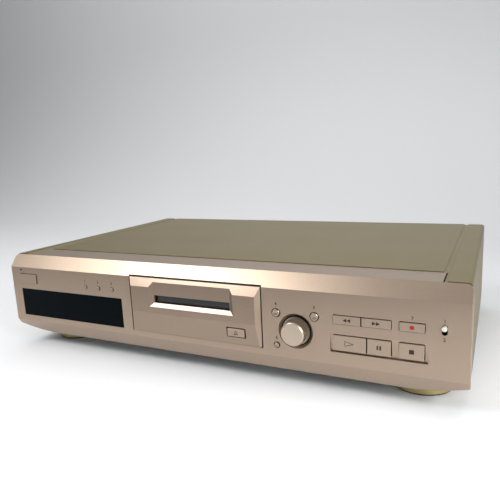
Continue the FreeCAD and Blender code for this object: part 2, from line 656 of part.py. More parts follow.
def front_panel():
    body = new_body("front_panel")
    outer = [("band_setback", PANEL_TOP), ("0", "upper_crease"), ("0", "lower_crease"),
             ("lip_setback", "panel_bottom"), ("panel_rear", "panel_bottom"), ("panel_rear", PANEL_TOP)]
    shape = solid(body, "panel_shape", "YZ_Plane", "-" + HALF, HALF, outer)
    end = value(HALF)
    rear = value("panel_rear")
    dress(body, "Chamfer", "panel_end_edges", shape, "end_ease",
          lambda edge: at(edge, 0, end, -end) and edge.Length > 10 and not at(edge, 1, rear))
    run = "(panel_rear + 1 - panel_wall)"
    rise = "%s * (%s - upper_crease) / band_setback" % (run, PANEL_TOP)
    fall = "%s * (lower_crease - panel_bottom) / lip_setback" % run
    inner = [("panel_wall", "upper_crease - crease_ease"), ("panel_wall", "lower_crease + crease_ease"),
             ("panel_rear + 1", "lower_crease + crease_ease - " + fall),
             ("panel_rear + 1", "upper_crease - crease_ease + " + rise)]
    hollow(body, "panel_inside", "YZ_Plane", "-%s + panel_wall" % HALF, "%s - panel_wall" % HALF, inner)
    solid(body, "panel_ledge", "XY_Plane", "%s - ledge_thick" % PANEL_TOP, PANEL_TOP,
          rect("-ledge_half", "panel_rear - 0.9", "ledge_half", "ledge_depth"))
    solid(body, "panel_ledge_lip", "XY_Plane", "%s - ledge_lip" % PANEL_TOP, "%s - ledge_thick" % PANEL_TOP,
          rect("-ledge_half", "ledge_depth - ledge_thick", "ledge_half", "ledge_depth"))
    solid(body, "panel_lugs", "XZ_Plane", "panel_rear - lug_seat", "%s - seat_gap" % PAN_FRONT,
          *[rect("%s - lug_width / 2" % x, "panel_bottom + lug_seat", "%s + lug_width / 2" % x,
                 "panel_bottom + lug_seat + lug_height") for x in ("-lug_x", "0", "lug_x")])
    solid(body, "panel_backing", "XZ_Plane", "panel_wall - 0.1", "panel_wall + scoop_backing",
          rect("scoop_left - 1", "scoop_low - 1.4", "scoop_right + 1", "scoop_high + 0.4"))
    solid(body, "panel_posts", "XZ_Plane", "panel_wall - 0.1", "board_y",
          *[disc(x, z, "post_radius") for x, z in POSTS])
    hollow(body, "panel_post_holes", "XZ_Plane", "panel_wall + 2", "board_y + 1",
           *[disc(x, z, "post_screw") for x, z in POSTS])
    scoop = [("0", "scoop_high"), ("-1", "scoop_high"), ("-1", "scoop_low"), ("scoop_depth", "scoop_low")]
    recess = hollow(body, "panel_scoop", "YZ_Plane", "scoop_left", "scoop_right", scoop)
    ends = (value("scoop_left"), value("scoop_right"))
    sill = value("scoop_low")
    dress(body, "Fillet", "panel_scoop_corners", recess, "key_round",
          lambda edge: along(edge, 1) and at(edge, 0, *ends) and at(edge, 2, sill))
    key_holes = [rect("keys_left", "upper_keys_low", "keys_middle", "upper_keys_high"),
                 rect("keys_second", "upper_keys_low", "keys_right", "upper_keys_high"),
                 rect("keys_left", "lower_keys_low", "keys_middle", "lower_keys_high"),
                 rect("keys_second", "lower_keys_low", "keys_right", "lower_keys_high"),
                 rect("power_left", "power_low", "power_right", "power_high")]
    holes = hollow(body, "panel_key_holes", "XZ_Plane", "-1", "panel_rear", *key_holes)
    columns = [value(x) for x in ("keys_left", "keys_middle", "keys_second", "keys_right",
                                  "power_left", "power_right")]
    dress(body, "Fillet", "panel_key_corners", holes, "key_round",
          lambda edge: along(edge, 1) and at(edge, 0, *columns))
    hollow(body, "panel_openings", "XZ_Plane", "-1", "panel_rear + 2",
           rect("window_left", "window_low", "window_right", "window_high"),
           rect("-bay_half", "bay_low", "bay_half", "bay_high"))
    hollow(body, "panel_round_holes", "XZ_Plane", "-1", "panel_rear",
           disc("lens_x", "lens_z", "lens_radius + fit_gap"),
           *[disc("small_first_x + %d * small_pitch" % step, "small_z", "small_hole") for step in range(3)],
           disc("round_left_x", "round_high", "round_hole"),
           disc("round_right_x", "round_high", "round_hole"),
           disc("round_left_x", "round_low", "clear_hole"))
    slot = hollow(body, "panel_selector_slot", "XZ_Plane", "-1", "panel_rear",
                  rect("selector_x - selector_half", "selector_low", "selector_x + selector_half",
                       "selector_high"))
    flanks = (value("selector_x - selector_half"), value("selector_x + selector_half"))
    dress(body, "Fillet", "panel_selector_ends", slot, "selector_round",
          lambda edge: along(edge, 1) and at(edge, 0, *flanks))
    well = hollow(body, "panel_knob_hole", "XZ_Plane", "-1", "panel_rear",
                  disc("knob_x", "knob_z", "well_hole"))
    rim = value("well_hole")
    dress(body, "Chamfer", "panel_knob_well", well, "well_radius - well_hole",
          lambda edge: edge.Curve.TypeId == "Part::GeomCircle" and abs(edge.Curve.Radius - rim) < 1e-3
          and at(edge, 1, 0.0))
    top = corner_cutter("top_corner", "%s - corner_round" % HALF, "%s - corner_round" % PANEL_TOP,
                        "corner_round", True)
    sweep = corner_cutter("end_sweep", "end_sweep_start", "panel_bottom + end_sweep_radius",
                          "end_sweep_radius", False)
    node("front_panel", cut("front_panel", body, top, mirrored("top_corner_left", top),
                            sweep, mirrored("end_sweep_left", sweep)))


# Top cover: one folded sheet with two pressed grooves, notched round the ledge

def top_cover():
    body = new_body("top_cover")
    groove = [("groove_width / 2", "0"), ("groove_flat / 2", "groove_depth"),
              ("-groove_flat / 2", "groove_depth"), ("-groove_width / 2", "0")]

    def skin(inset):
        """One face of the sheet from the left skirt to the right one."""
        level = "cover_top - %s" % inset
        side = "(%s - %s)" % (COVER_HALF, inset)
        points = [("-" + side, "skirt_bottom"), ("-" + side, level)]
        points += [("-groove_x - (%s)" % x, "%s - %s" % (level, z)) for x, z in groove]
        points += [("groove_x - (%s)" % x, "%s - %s" % (level, z)) for x, z in groove]
        return points + [(side, level), (side, "skirt_bottom")]

    sheet_face = skin("0") + skin("sheet_steel")[::-1]
    folded = solid(body, "cover_sheet", "XZ_Plane", "panel_rear + cover_gap", "body_depth", sheet_face)
    half = value(COVER_HALF)
    inner = half - value("sheet_steel")
    top = value("cover_top")
    folded = dress(body, "Fillet", "cover_outer_bend", folded, "cover_bend",
                   lambda edge: along(edge, 1) and at(edge, 0, half, -half) and at(edge, 2, top))
    under = top - value("sheet_steel")
    dress(body, "Fillet", "cover_inner_bend", folded, "cover_bend - sheet_steel",
          lambda edge: along(edge, 1) and at(edge, 0, inner, -inner) and at(edge, 2, under))
    notch = "(ledge_half + cover_slit)"
    hollow(body, "cover_notch", "XY_Plane", "cover_top - 6", "cover_top + 1",
           rect("-" + notch, "0", notch, "ledge_depth + cover_gap"))
    solid(body, "cover_front_flange", "XY_Plane", "cover_top - front_flange", "cover_top - sheet_steel / 2",
          rect("-groove_x + groove_width / 2", "ledge_depth + cover_gap",
               "groove_x - groove_width / 2", "ledge_depth + cover_gap + sheet_steel"))
    solid(body, "cover_rear_lip", "XZ_Plane", "body_depth - sheet_steel", "body_depth",
          rect("-groove_x + groove_width / 2", "cover_top - rear_lip",
               "groove_x - groove_width / 2", "cover_top - sheet_steel / 2"))
    hollow(body, "cover_corner_relief", "YZ_Plane", "-%s - 1" % COVER_HALF, "%s + 1" % COVER_HALF,
           rect("0", "0", "corner_relief", "relief_height"))
    hollow(body, "cover_rear_holes", "XZ_Plane", "body_depth - 2 * sheet_steel", "body_depth + 1",
           *[disc("%d * rear_screw_pitch" % step, "cover_top - rear_lip / 2 - sheet_steel / 2",
                  "screw_radius + screw_clearance") for step in (-1, 0, 1)])
    node("top_cover", body)


# Chassis pan: a folded tray with beads, floor vents, foot holes and board spacers

def feet_places():
    return [(side + "foot_x", y) for y in ("foot_front", "foot_rear") for side in ("-", "")]


SPACERS = [(x, y) for board in ("main", "supply")
           for x in (board + "_left + board_corner", board + "_right - board_corner")
           for y in (board + "_front + board_corner", board + "_rear - board_corner")]


def chassis_pan():
    body = new_body("chassis_pan")
    inner = "(%s - sheet_steel)" % PAN_HALF
    tray = [("-" + PAN_HALF, "pan_flange"), ("-" + PAN_HALF, "foot_height"), (PAN_HALF, "foot_height"),
            (PAN_HALF, "pan_flange"), (inner, "pan_flange"), (inner, PAN_TOP), ("-" + inner, PAN_TOP),
            ("-" + inner, "pan_flange")]
    solid(body, "pan_tray", "XZ_Plane", PAN_FRONT, PAN_REAR, tray)
    solid(body, "pan_front_wall", "XZ_Plane", PAN_FRONT, "%s + sheet_steel" % PAN_FRONT,
          rect("-%s + 1" % inner, "foot_height + sheet_steel / 2", "%s - 1" % inner, "pan_front_flange"))
    solid(body, "pan_beads", "XY_Plane", "%s - 0.1" % PAN_TOP, "%s + bead_height" % PAN_TOP,
          *[rect("%s - bead_width / 2" % x, "bracket_rear + bead_clear", "%s + bead_width / 2" % x,
                 "body_depth - bead_clear") for x in ("-bead_x", "0", "bead_right")])
    solid(body, "pan_spacers", "XY_Plane", "%s - 0.1" % PAN_TOP, "main_z",
          *[disc(x, y, "spacer_radius") for x, y in SPACERS])
    corner = "(foot_x - foot_screw_head)"
    hollow(body, "pan_corner_relief", "XZ_Plane", "0", "corner_relief",
           rect(corner, "0", "%s + 1" % PAN_HALF, "relief_height"),
           rect("-1 * %s - 1" % PAN_HALF, "0", "-1 * " + corner, "relief_height"))
    hollow(body, "pan_foot_holes", "XY_Plane", "foot_height - 1", "%s + 1" % PAN_TOP,
           *[disc(x, y, "foot_screw + screw_clearance") for x, y in feet_places()])
    vent = hollow(body, "pan_vent", "XY_Plane", "foot_height - 1", "%s + 1" % PAN_TOP,
                  rect("core_x - vent_length / 2", "supply_front + 2", "core_x + vent_length / 2",
                       "supply_front + 2 + vent_width"))
    pattern = body.newObject("PartDesign::LinearPattern", "pan_vents")
    pattern.Originals = [vent]
    pattern.Direction = (vent.Profile[0], ["V_Axis"])
    pattern.setExpression("Length", bound("vent_pitch * (vent_count - 1)"))
    pattern.setExpression("Occurrences", bound("vent_count"))
    body.Tip = pattern
    doc.recompute()
    node("chassis_pan", body)


# Rear panel with its socket cut-outs

JACKS = [("jack_x + %s * jack_pitch_x / 2" % a, "jack_z + %s * jack_pitch_z / 2" % b)
         for a in ("-1", "1") for b in ("-1", "1")]
OPTICS = ["optic_x - optic_pitch / 2", "optic_x + optic_pitch / 2"]


def rear_panel():
    body = new_body("rear_panel")
    solid(body, "rear_sheet", "XZ_Plane", REAR_PANEL, "%s + sheet_steel" % REAR_PANEL,
          rect("-" + PAN_HALF, "foot_height", PAN_HALF, "cover_top - sheet_steel - cover_bend"))
    hollow(body, "rear_jack_holes", "XZ_Plane", "%s - 1" % REAR_PANEL, "body_depth",
           *[disc(x, z, "jack_collar + screw_clearance") for x, z in JACKS],
           *[rect("%s - optic_half - fit_gap" % x, "optic_z - optic_half - fit_gap",
                  "%s + optic_half + fit_gap" % x, "optic_z + optic_half + fit_gap") for x in OPTICS],
           disc("gland_x", "gland_z", "gland_radius + fit_gap"),
           *[disc("%d * rear_screw_pitch" % step, "cover_top - rear_lip / 2 - sheet_steel / 2",
                  "screw_radius + screw_clearance") for step in (-1, 0, 1)])
    node("rear_panel", body)


# Feet: turned cups with a rubber ring, each held by one screw from below

def foot():
    """One foot about its own axis, standing on the floor."""
    body = new_body("foot")
    web = "(foot_height - foot_web)"
    profile = [("foot_screw + screw_clearance", "foot_height"), ("foot_radius - foot_bevel", "foot_height"),
               ("foot_radius", "foot_height - foot_bevel"), ("foot_radius", "pad_thick"),
               ("foot_well", "pad_thick"), ("foot_well", web), ("foot_screw + screw_clearance", web)]
    turn_upright(body, "foot_cup", profile)
    return body


def feet():
    names = ("foot_front_left", "foot_front_right", "foot_rear_left", "foot_rear_right")
    for name, (x, y) in zip(names, feet_places()):
        node(name, foot(), x, y)
    pads = []
    screws = []
    for x, y in feet_places():
        ring = cut("foot_pad", rod("pad_outside", (x, y, "0"), "pad_outer", "pad_thick"),
                   rod("pad_inside", (x, y, "-1"), "pad_inner", "pad_thick + 2"))
        pads.append(ring)
        web = "(foot_height - foot_web)"
        head = rod("foot_screw_head", (x, y, "%s - 2.2" % web), "foot_screw_head", "2.2")
        shank = rod("foot_screw_shank", (x, y, "%s - 0.5" % web), "foot_screw", "foot_web + sheet_steel + 3")
        screws.append(fuse("foot_screw", head, shank))
    node("foot_pads", group("foot_pads", *pads))
    node("foot_screws", group("foot_screws", *screws))


def cover_screws():
    screws = []
    for step in (-1, 0, 1):
        x = "%d * rear_screw_pitch" % step
        z = "cover_top - rear_lip / 2 - sheet_steel / 2"
        head = rod("rear_screw_head", (x, "body_depth", z), "screw_head", "screw_head_thick", "y")
        shank = rod("rear_screw_shank", (x, "body_depth - screw_length", z), "screw_radius",
                    "screw_length + 0.2", "y")
        screws.append(fuse("rear_screw", head, shank))
    node("cover_screws", group("cover_screws", *screws))


# Display side: window, lens, display tube and its board

def display_side():
    body = new_body("display_window")
    solid(body, "window_plate", "XZ_Plane", "window_inset", "panel_wall + seat_gap",
          rect("window_left + fit_gap", "window_low + fit_gap", "window_right - fit_gap",
               "window_high - fit_gap"))
    solid(body, "window_rim", "XZ_Plane", "panel_wall + seat_gap", "panel_wall + seat_gap + rim_thick",
          rect("window_left - rim", "window_low - rim", "window_right + rim", "window_high + rim"))
    node("display_window", body)
    lens = new_body("standby_lens")
    solid(lens, "lens_pip", "XZ_Plane", "-0.2", "panel_wall + seat_gap", disc("0", "0", "lens_radius"))
    solid(lens, "lens_rim", "XZ_Plane", "panel_wall + seat_gap", "%s - seat_gap" % "board_y",
          disc("0", "0", "lens_radius + fit_gap + 0.5"))
    node("standby_lens", lens, "lens_x", "0", "lens_z")
    glass = block("tube_glass", ("tube_left", "board_y - seat_gap - tube_thick", "tube_low"),
                  ("tube_right", "board_y - seat_gap", "tube_high"))
    tip = rod("tube_tip", ("tube_left - 4", "board_y - seat_gap - tube_thick / 2", "tube_low + 5"), "1.6",
              "4.5", "x")
    node("display_tube", fuse("display_tube", glass, tip))


# Boards behind the panel and their push switches

def board(name, outline_points, holes):
    body = new_body(name)
    solid(body, name + "_plate", "XZ_Plane", "board_y", "board_y + board_thick", outline_points)
    hollow(body, name + "_holes", "XZ_Plane", "board_y - 1", "board_y + board_thick + 1",
           *[disc(x, z, "post_screw + screw_clearance") for x, z in holes])
    return body


BUTTONS = [
    ("power_button", "(power_left + power_right) / 2", "(power_low + power_high) / 2"),
    ("time_button", "small_first_x", "small_z"),
    ("display_button", "small_first_x + small_pitch", "small_z"),
    ("scroll_button", "small_first_x + 2 * small_pitch", "small_z"),
    ("eject_button", "(eject_left + eject_right) / 2", "(eject_low + eject_high) / 2"),
    ("menu_button", "round_left_x", "round_high"),
    ("confirm_button", "round_right_x", "round_high"),
    ("clear_button", "round_left_x", "round_low"),
    ("rewind_button", "(keys_left + search_split) / 2", "(upper_keys_low + upper_keys_high) / 2"),
    ("forward_button", "(search_split + keys_middle) / 2", "(upper_keys_low + upper_keys_high) / 2"),
    ("record_button", "(keys_second + keys_right) / 2", "(upper_keys_low + upper_keys_high) / 2"),
    ("play_button", "(keys_left + play_split) / 2", "(lower_keys_low + lower_keys_high) / 2"),
    ("pause_button", "(play_split + keys_middle) / 2", "(lower_keys_low + lower_keys_high) / 2"),
    ("stop_button", "(keys_second + keys_right) / 2", "(lower_keys_low + lower_keys_high) / 2"),
]


def boards():
    node("display_board", board("display_board", rect("-board_end", "board_low", "-board_inner",
                                                      "board_high"), POSTS[:4]))
    keys = [("tongue_end", "board_low"), ("board_end", "board_low"), ("board_end", "board_high"),
            ("board_inner", "board_high"), ("board_inner", "tongue_high"), ("tongue_end", "tongue_high")]
    node("key_board", board("key_board", keys, POSTS[4:]))
    switches = []
    for name, x, z in BUTTONS:
        base = block("switch_base", ("%s - switch_size / 2" % x, "board_y - switch_thick * 0.7",
                                     "%s - switch_size / 2" % z),
                     ("%s + switch_size / 2" % x, "board_y", "%s + switch_size / 2" % z))
        tip = rod("switch_tip", (x, SWITCH_FACE, z), "stem_radius", "switch_thick * 0.5", "y")
        switches.append(fuse("push_switch", base, tip))
    node("push_switches", group("push_switches", *switches))


# Keys: a cap, a rim that stops it behind the panel, and a stem that meets its switch

def stem_end():
    return "(%s - key_travel - key_slack)" % SWITCH_FACE


def key_cap(name, x, z, width, height, proud, wall, gap):
    """A rectangular key about its own middle, its hole's size less the gap all round."""
    body = new_body(name)
    half = "((%s) / 2 - %s)" % (width, gap)
    tall = "((%s) / 2 - %s)" % (height, gap)
    back = "(%s + key_slack)" % wall
    cap = solid(body, name + "_cap", "XZ_Plane", "-1 * %s" % proud, back,
                rect("-1 * " + half, "-1 * " + tall, half, tall))
    cap = dress(body, "Fillet", name + "_corners", cap, "key_round - key_gap", lambda edge: along(edge, 1))
    front = -value(proud)
    dress(body, "Fillet", name + "_edge", cap, "key_edge", lambda edge: at(edge, 1, front))
    reach = "(%s + %s + rim)" % (tall, gap)
    solid(body, name + "_rim", "XZ_Plane", back, "%s + rim_thick" % back,
          rect("-1 * " + half, "-1 * " + reach, half, reach))
    solid(body, name + "_stem", "XZ_Plane", "%s + rim_thick" % back, stem_end(), disc("0", "0", "stem_radius"))
    node(name, body, x, "0", z)


def round_cap(name, x, z, hole, gap):
    """A round button about its own middle, with a dished face."""
    body = new_body(name)
    radius = "(%s - %s)" % (hole, gap)
    back = "(panel_wall + key_slack)"
    profile = [("0.35 - key_proud", "0"), ("-1 * key_proud", "%s * 0.55" % radius),
               ("-1 * key_proud", "%s - key_edge" % radius), ("key_edge - key_proud", radius),
               (back, radius), (back, "%s + rim" % hole), ("%s + rim_thick" % back, "%s + rim" % hole),
               ("%s + rim_thick" % back, "stem_radius"), (stem_end(), "stem_radius"), (stem_end(), "0")]
    turn(body, name + "_turned", profile)
    node(name, body, x, "0", z)


def keys():
    places = {name: (x, z) for name, x, z in BUTTONS}
    upper = "upper_keys_high - upper_keys_low"
    lower = "lower_keys_high - lower_keys_low"
    backed = "(panel_wall + scoop_backing)"
    for name, width, height, proud, wall, gap in (
            ("power_button", "power_width", "power_high - power_low", "key_proud", "panel_wall", "key_gap"),
            ("eject_button", "eject_right - eject_left", "eject_high - eject_low", "eject_proud",
             "block_rear", "eject_gap"),
            ("rewind_button", "search_split - keys_left", upper, "key_proud", "panel_wall", "key_gap"),
            ("forward_button", "keys_middle - search_split", upper, "key_proud", "panel_wall", "key_gap"),
            ("record_button", "second_column", upper, "key_proud", "panel_wall", "key_gap"),
            ("play_button", "play_split - keys_left", lower, "key_proud", backed, "key_gap"),
            ("pause_button", "keys_middle - play_split", lower, "key_proud", backed, "key_gap"),
            ("stop_button", "second_column", lower, "key_proud", backed, "key_gap")):
        key_cap(name, *places[name], width, height, proud, wall, gap)
    for name in ("time_button", "display_button", "scroll_button"):
        round_cap(name, *places[name], "small_hole", "small_gap")
    for name in ("menu_button", "confirm_button"):
        round_cap(name, *places[name], "round_hole", "round_gap")
    round_cap("clear_button", *places["clear_button"], "clear_hole", "round_gap")


# Jog knob, its encoder and the plunger behind the shaft

def jog():
    flange_end = "(flange_start + flange_thick)"
    front = "board_y - encoder_thick"
    shaft_end = "(board_y - jog_travel - plunger_thick - 0.15)"
    knob = new_body("jog_knob")
    profile = [("-1 * knob_proud", "0"), ("-1 * knob_proud", "knob_radius - knob_bevel"),
               ("knob_bevel - knob_proud", "knob_radius"), ("flange_start", "knob_base"),
               ("flange_start", "knob_flange"), (flange_end, "knob_flange"),
               (flange_end, "knob_base - knob_wall"), ("knob_wall - knob_proud", "knob_radius - knob_wall"),
               ("knob_wall - knob_proud", "knob_boss"), (flange_end, "knob_boss"),
               (flange_end, "shaft_radius"), (shaft_end, "shaft_radius"), (shaft_end, "0")]
    turn(knob, "knob_turned", profile)
    node("jog_knob", knob, "knob_x", "0", "knob_z")
    housing = block("encoder_housing", ("-encoder_half", front, "-encoder_half"),
                    ("encoder_half", "board_y", "encoder_half"))
    bore = rod("encoder_bore", ("0", "%s - 1" % front, "0"), "shaft_radius + running_gap",
               "encoder_thick + 2", "y")
    node("jog_encoder", cut("jog_encoder", housing, bore), "knob_x", "0", "knob_z")
    node("jog_plunger", rod("jog_plunger", ("0", "0", "0"), "plunger_radius", "plunger_thick", "y"),
         "knob_x", "%s + running_gap" % shaft_end, "knob_z")


# Input switch

def selector():
    start = "(selector_high - selector_half - 0.2)"
    front = "(panel_wall + 2)"
    knob = fuse("input_switch_knob",
                block("selector_lever", ("-selector_stem", "-1 * selector_proud", "-selector_stem"),
                      ("selector_stem", "%s + 3" % front, "selector_stem")),
                rod("selector_pip", ("0", "-1 * selector_proud - selector_ball * 0.6", "0"), "selector_ball",
                    "selector_ball * 1.2", "y"))
    node("input_switch_knob", knob, "selector_x", "0", start)
    case = block("selector_case", ("selector_x - selector_body", front, "selector_low - 3"),
                 ("selector_x + selector_body", "board_y", "selector_high + 3"))
    track = block("selector_track",
                  ("selector_x - selector_stem - 0.2", "%s - 1" % front, "%s - selector_travel - 1.2" % start),
                  ("selector_x + selector_stem + 0.2", "%s + 3.3" % front, "%s + 1.2" % start))
    node("input_switch_body", cut("input_switch_body", case, track))


# Disc block: the proud moulding with the scooped disc slot and the eject button

def disc_block():
    body = new_body("disc_block")
    half = "(bay_half - bay_gap)"
    low = "(bay_low + bay_gap)"
    high = "(bay_high - bay_gap)"
    side = [("0.2", high), ("-1 * block_proud", "block_top_crease"), ("-1 * block_proud", "block_low_crease"),
            ("-1 * block_foot_proud", low), ("block_rear", low), ("block_rear", high)]
    solid(body, "block_shape", "YZ_Plane", "-1 * " + half, half, side)
    for name, sign in (("left", "-1 * "), ("right", "")):
        chamfer = [("%s(%s - block_side)" % (sign, half), "-1 * block_proud"), (sign + half, "0"),
                   ("%s(%s + 1)" % (sign, half), "0"), ("%s(%s + 1)" % (sign, half), "-1 * block_proud - 1"),
                   ("%s(%s - block_side)" % (sign, half), "-1 * block_proud - 1")]
        hollow(body, "block_side_" + name, "XY_Plane", "bay_low - 1", "bay_high + 1", chamfer)
    solid(body, "block_flange_plate", "XZ_Plane", "panel_wall + seat_gap",
          "panel_wall + seat_gap + block_flange_thick",
          rect("-bay_half - block_flange", "bay_low - block_flange", "bay_half + block_flange",
               "upper_crease - crease_ease - 1"))
    solid(body, "block_throat", "XZ_Plane", "block_rear - 0.1", "throat_rear",
          rect("-throat_half - throat_wall", "throat_low - throat_wall", "throat_half + throat_wall",
               "throat_high + throat_wall"))
    loft = body.newObject("PartDesign::SubtractiveLoft", "block_recess")
    above = "(bay_high + 6)"
    loft.Profile = sketch_on(body, "recess_front", "XZ_Plane", "-1 * block_proud",
                             [rect("-recess_half", "recess_low", "recess_half", above)])
    loft.Sections = [sketch_on(body, "recess_floor", "XZ_Plane", "-1 * mouth_floor",
                               [rect("-recess_floor_half", "slot_low", "recess_floor_half", above)])]
    loft.Ruled = True
    doc.recompute()
    hollow(body, "block_slot", "XZ_Plane", "-1 * block_proud", "throat_rear + 1",
           rect("-slot_half", "slot_low", "slot_half", "slot_high"))
    hollow(body, "block_throat_room", "XZ_Plane", "throat_start", "throat_rear + 1",
           rect("-throat_half", "throat_low", "throat_half", "throat_high"))
    hollow(body, "block_hinge_bores", "YZ_Plane", "-throat_half - flap_pin_length",
           "throat_half + flap_pin_length", disc("flap_axis_y", "flap_axis_z", "flap_pin + running_gap"))
    hollow(body, "block_hollow", "XZ_Plane", "0.8", "block_rear + 1",
           rect("-bay_half + 6", "bay_low + 5", "eject_left - 5", "throat_low - throat_wall - 2"))
    hole = hollow(body, "block_eject_hole", "XZ_Plane", "-1 * block_proud - 1", "throat_rear",
                  rect("eject_left", "eject_low", "eject_right", "eject_high"))
    columns = (value("eject_left"), value("eject_right"))
    dress(body, "Fillet", "block_eject_corners", hole, "key_round",
          lambda edge: along(edge, 1) and at(edge, 0, *columns))
    node("disc_block", body)


def slot_flap():
    """The flap about its hinge axis, hanging straight down behind the slot."""
    body = new_body("slot_flap")
    width = "(throat_half - 0.4)"
    solid(body, "flap_leaf", "YZ_Plane", "-1 * " + width, width,
          rect("-1 * flap_thick", "-1 * flap_drop", "0", "0"))
    solid(body, "flap_barrel_round", "YZ_Plane", "-1 * " + width, width, disc("0", "0", "flap_barrel"))
    reach = "(throat_half + flap_pin_length - 0.3)"
    solid(body, "flap_pins", "YZ_Plane", "-1 * " + reach, reach, disc("0", "0", "flap_pin"))
    node("slot_flap", body, "0", "flap_axis_y", "flap_axis_z")


# Mechanism bracket: an H-section frame on feet that carries holder, slide, spindle and sled

def mechanism_bracket():
    body = new_body("mechanism_bracket")
    out = "(wall_in + wall_sheet)"
    foot_end = "(%s + bracket_foot)" % out
    for name, sign in (("left", "-1 * "), ("right", "")):
        wall = [(sign + "wall_in", PAN_TOP), (sign + foot_end, PAN_TOP),
                (sign + foot_end, "%s + wall_sheet" % PAN_TOP), (sign + out, "%s + wall_sheet" % PAN_TOP),
                (sign + out, "wall_top"), (sign + "wall_in", "wall_top")]
        if name == "right":
            deck = rect("-wall_in - 0.1", "deck_z", "wall_in + 0.1", DECK_TOP)
            solid(body, "bracket_deck", "XZ_Plane", "bracket_front", "bracket_rear", deck)
        solid(body, "bracket_wall_" + name, "XZ_Plane", "bracket_front", "bracket_rear", wall)
    blocks = [("-rod_x", "rod_front - 4", "rod_z"), ("rod_x", "rod_front - 4", "rod_z"),
              ("-rod_x", "rod_rear", "rod_z"), ("rod_x", "rod_rear", "rod_z")]
    for number, (x, y, z) in enumerate(blocks):
        solid(body, "rod_block_%d" % number, "XY_Plane", "%s - 0.1" % DECK_TOP, "rod_z + rod_radius + 1.2",
              rect("%s - 3" % x, y, "%s + 3" % x, "%s + 4" % y))
    for number, y in enumerate(("rod_front - 4", "rod_rear")):
        solid(body, "screw_block_%d" % number, "XY_Plane", "%s - 0.1" % DECK_TOP, "rod_z + lead_radius + 2",
              rect("screw_x - 3", y, "screw_x + 3", "%s + 4" % y))
    hollow(body, "rod_holes", "XZ_Plane", "rod_front - 5", "rod_rear + 5",
           disc("-rod_x", "rod_z", "rod_radius + running_gap"),
           disc("rod_x", "rod_z", "rod_radius + running_gap"),
           disc("screw_x", "rod_z", "lead_radius + running_gap"))
    half = "(guide_pin + guide_gap)"
    hollow(body, "guide_slots", "YZ_Plane", "-%s - 1" % out, "%s + 1" % out,
           *[rect("%s - %s" % (y, half), "guide_z - holder_drop - %s" % half, "%s + %s" % (y, half),
                  "guide_z + %s" % half) for y in ("guide_front", "guide_rear")])
    hollow(body, "bracket_openings", "YZ_Plane", "-%s - 1" % out, "%s + 1" % out,
           rect("bracket_front + 12", "%s + 8" % PAN_TOP, "bracket_front + 22", "deck_z - 4"),
           rect("bracket_rear - 36", "%s + 8" % PAN_TOP, "bracket_rear - 12", "deck_z - 4"))
    hollow(body, "motor_hole", "YZ_Plane", "wall_in - 0.5", "%s + 1" % out,
           disc("gear_y + %s" % PINION_STEP, "%s - %s" % (GEAR_Z, PINION_STEP), "motor_shaft + 1.5"))
    solid(body, "gear_stud", "YZ_Plane", "%s - 0.2" % out, "%s + gear_width + 0.8" % SLIDE_IN,
          disc("gear_y", GEAR_Z, "stud_radius"))
    node("mechanism_bracket", body)


# Cartridge holder: a folded sheet channel with two windows and four guide pins

def cartridge_holder():
    body = new_body("cartridge_holder")
    low = "(holder_floor - holder_sheet)"
    high = "(holder_floor + holder_inner + holder_sheet)"
    out = "(holder_half + holder_sheet)"
    rear = "(holder_front + holder_length)"
    solid(body, "holder_sleeve", "XZ_Plane", "holder_front", rear, rect("-1 * " + out, low, out, high))
    hollow(body, "holder_room", "XZ_Plane", "holder_front - 1", "%s - holder_sheet" % rear,
           rect("-holder_half", "holder_floor", "holder_half", "holder_floor + holder_inner"))
    hollow(body, "holder_lower_window", "XY_Plane", "%s - 1" % low, "holder_floor + 0.1",
           rect("-window_half", "holder_front + window_start", "window_half", "%s + 1" % rear))
    hollow(body, "holder_upper_window", "XY_Plane", "holder_floor + holder_inner - 0.1", "%s + 1" % high,
           rect("-head_window_half", "holder_front + head_window_start", "head_window_half", "%s + 1" % rear))
    reach = "(%s + slide_sheet)" % SLIDE_IN
    for name, start, end in (("left", "-1 * " + reach, "-1 * %s + 0.1" % out), ("right", "%s - 0.1" % out,
                                                                              reach)):
        solid(body, "holder_pins_" + name, "YZ_Plane", start, end,
              *[disc(y, "guide_z", "guide_pin") for y in ("guide_front", "guide_rear")])
    node("cartridge_holder", body)


# Loading slide: two cam plates joined by a bridge, with a rack under the right plate

def tooth_rack(name):
    """A short rack whose teeth hang from the right cam plate, one pitch apart."""
    module = value("gear_module")
    pitch = math.pi * module
    slim = value("backlash") / 2
    lean = math.tan(math.radians(20))
    line = value("slide_low") - 1.25 * module
    top = value("slide_low") + 0.3
    spare = 3
    behind = spare + math.ceil(value("slide_travel") / pitch)
    teeth = []
    for number in range(-behind, spare + 1):
        middle = value("gear_y") + number * pitch
        tip = pitch / 4 - slim - lean * module
        root = pitch / 4 - slim + lean * (top - line)
        corners = [(middle - root, top), (middle - tip, line - module), (middle + tip, line - module),
                   (middle + root, top)]
        points = [FreeCAD.Vector(0, y, z) for y, z in corners]
        face = Part.Face(Part.makePolygon(points + points[:1]))
        teeth.append(face.extrude(FreeCAD.Vector(value("gear_width"), 0, 0)))
    thing = doc.addObject("Part::Feature", name)
    thing.Shape = teeth[0].fuse(teeth[1:])
    thing.Placement.Base.x = value(SLIDE_IN)
    return thing


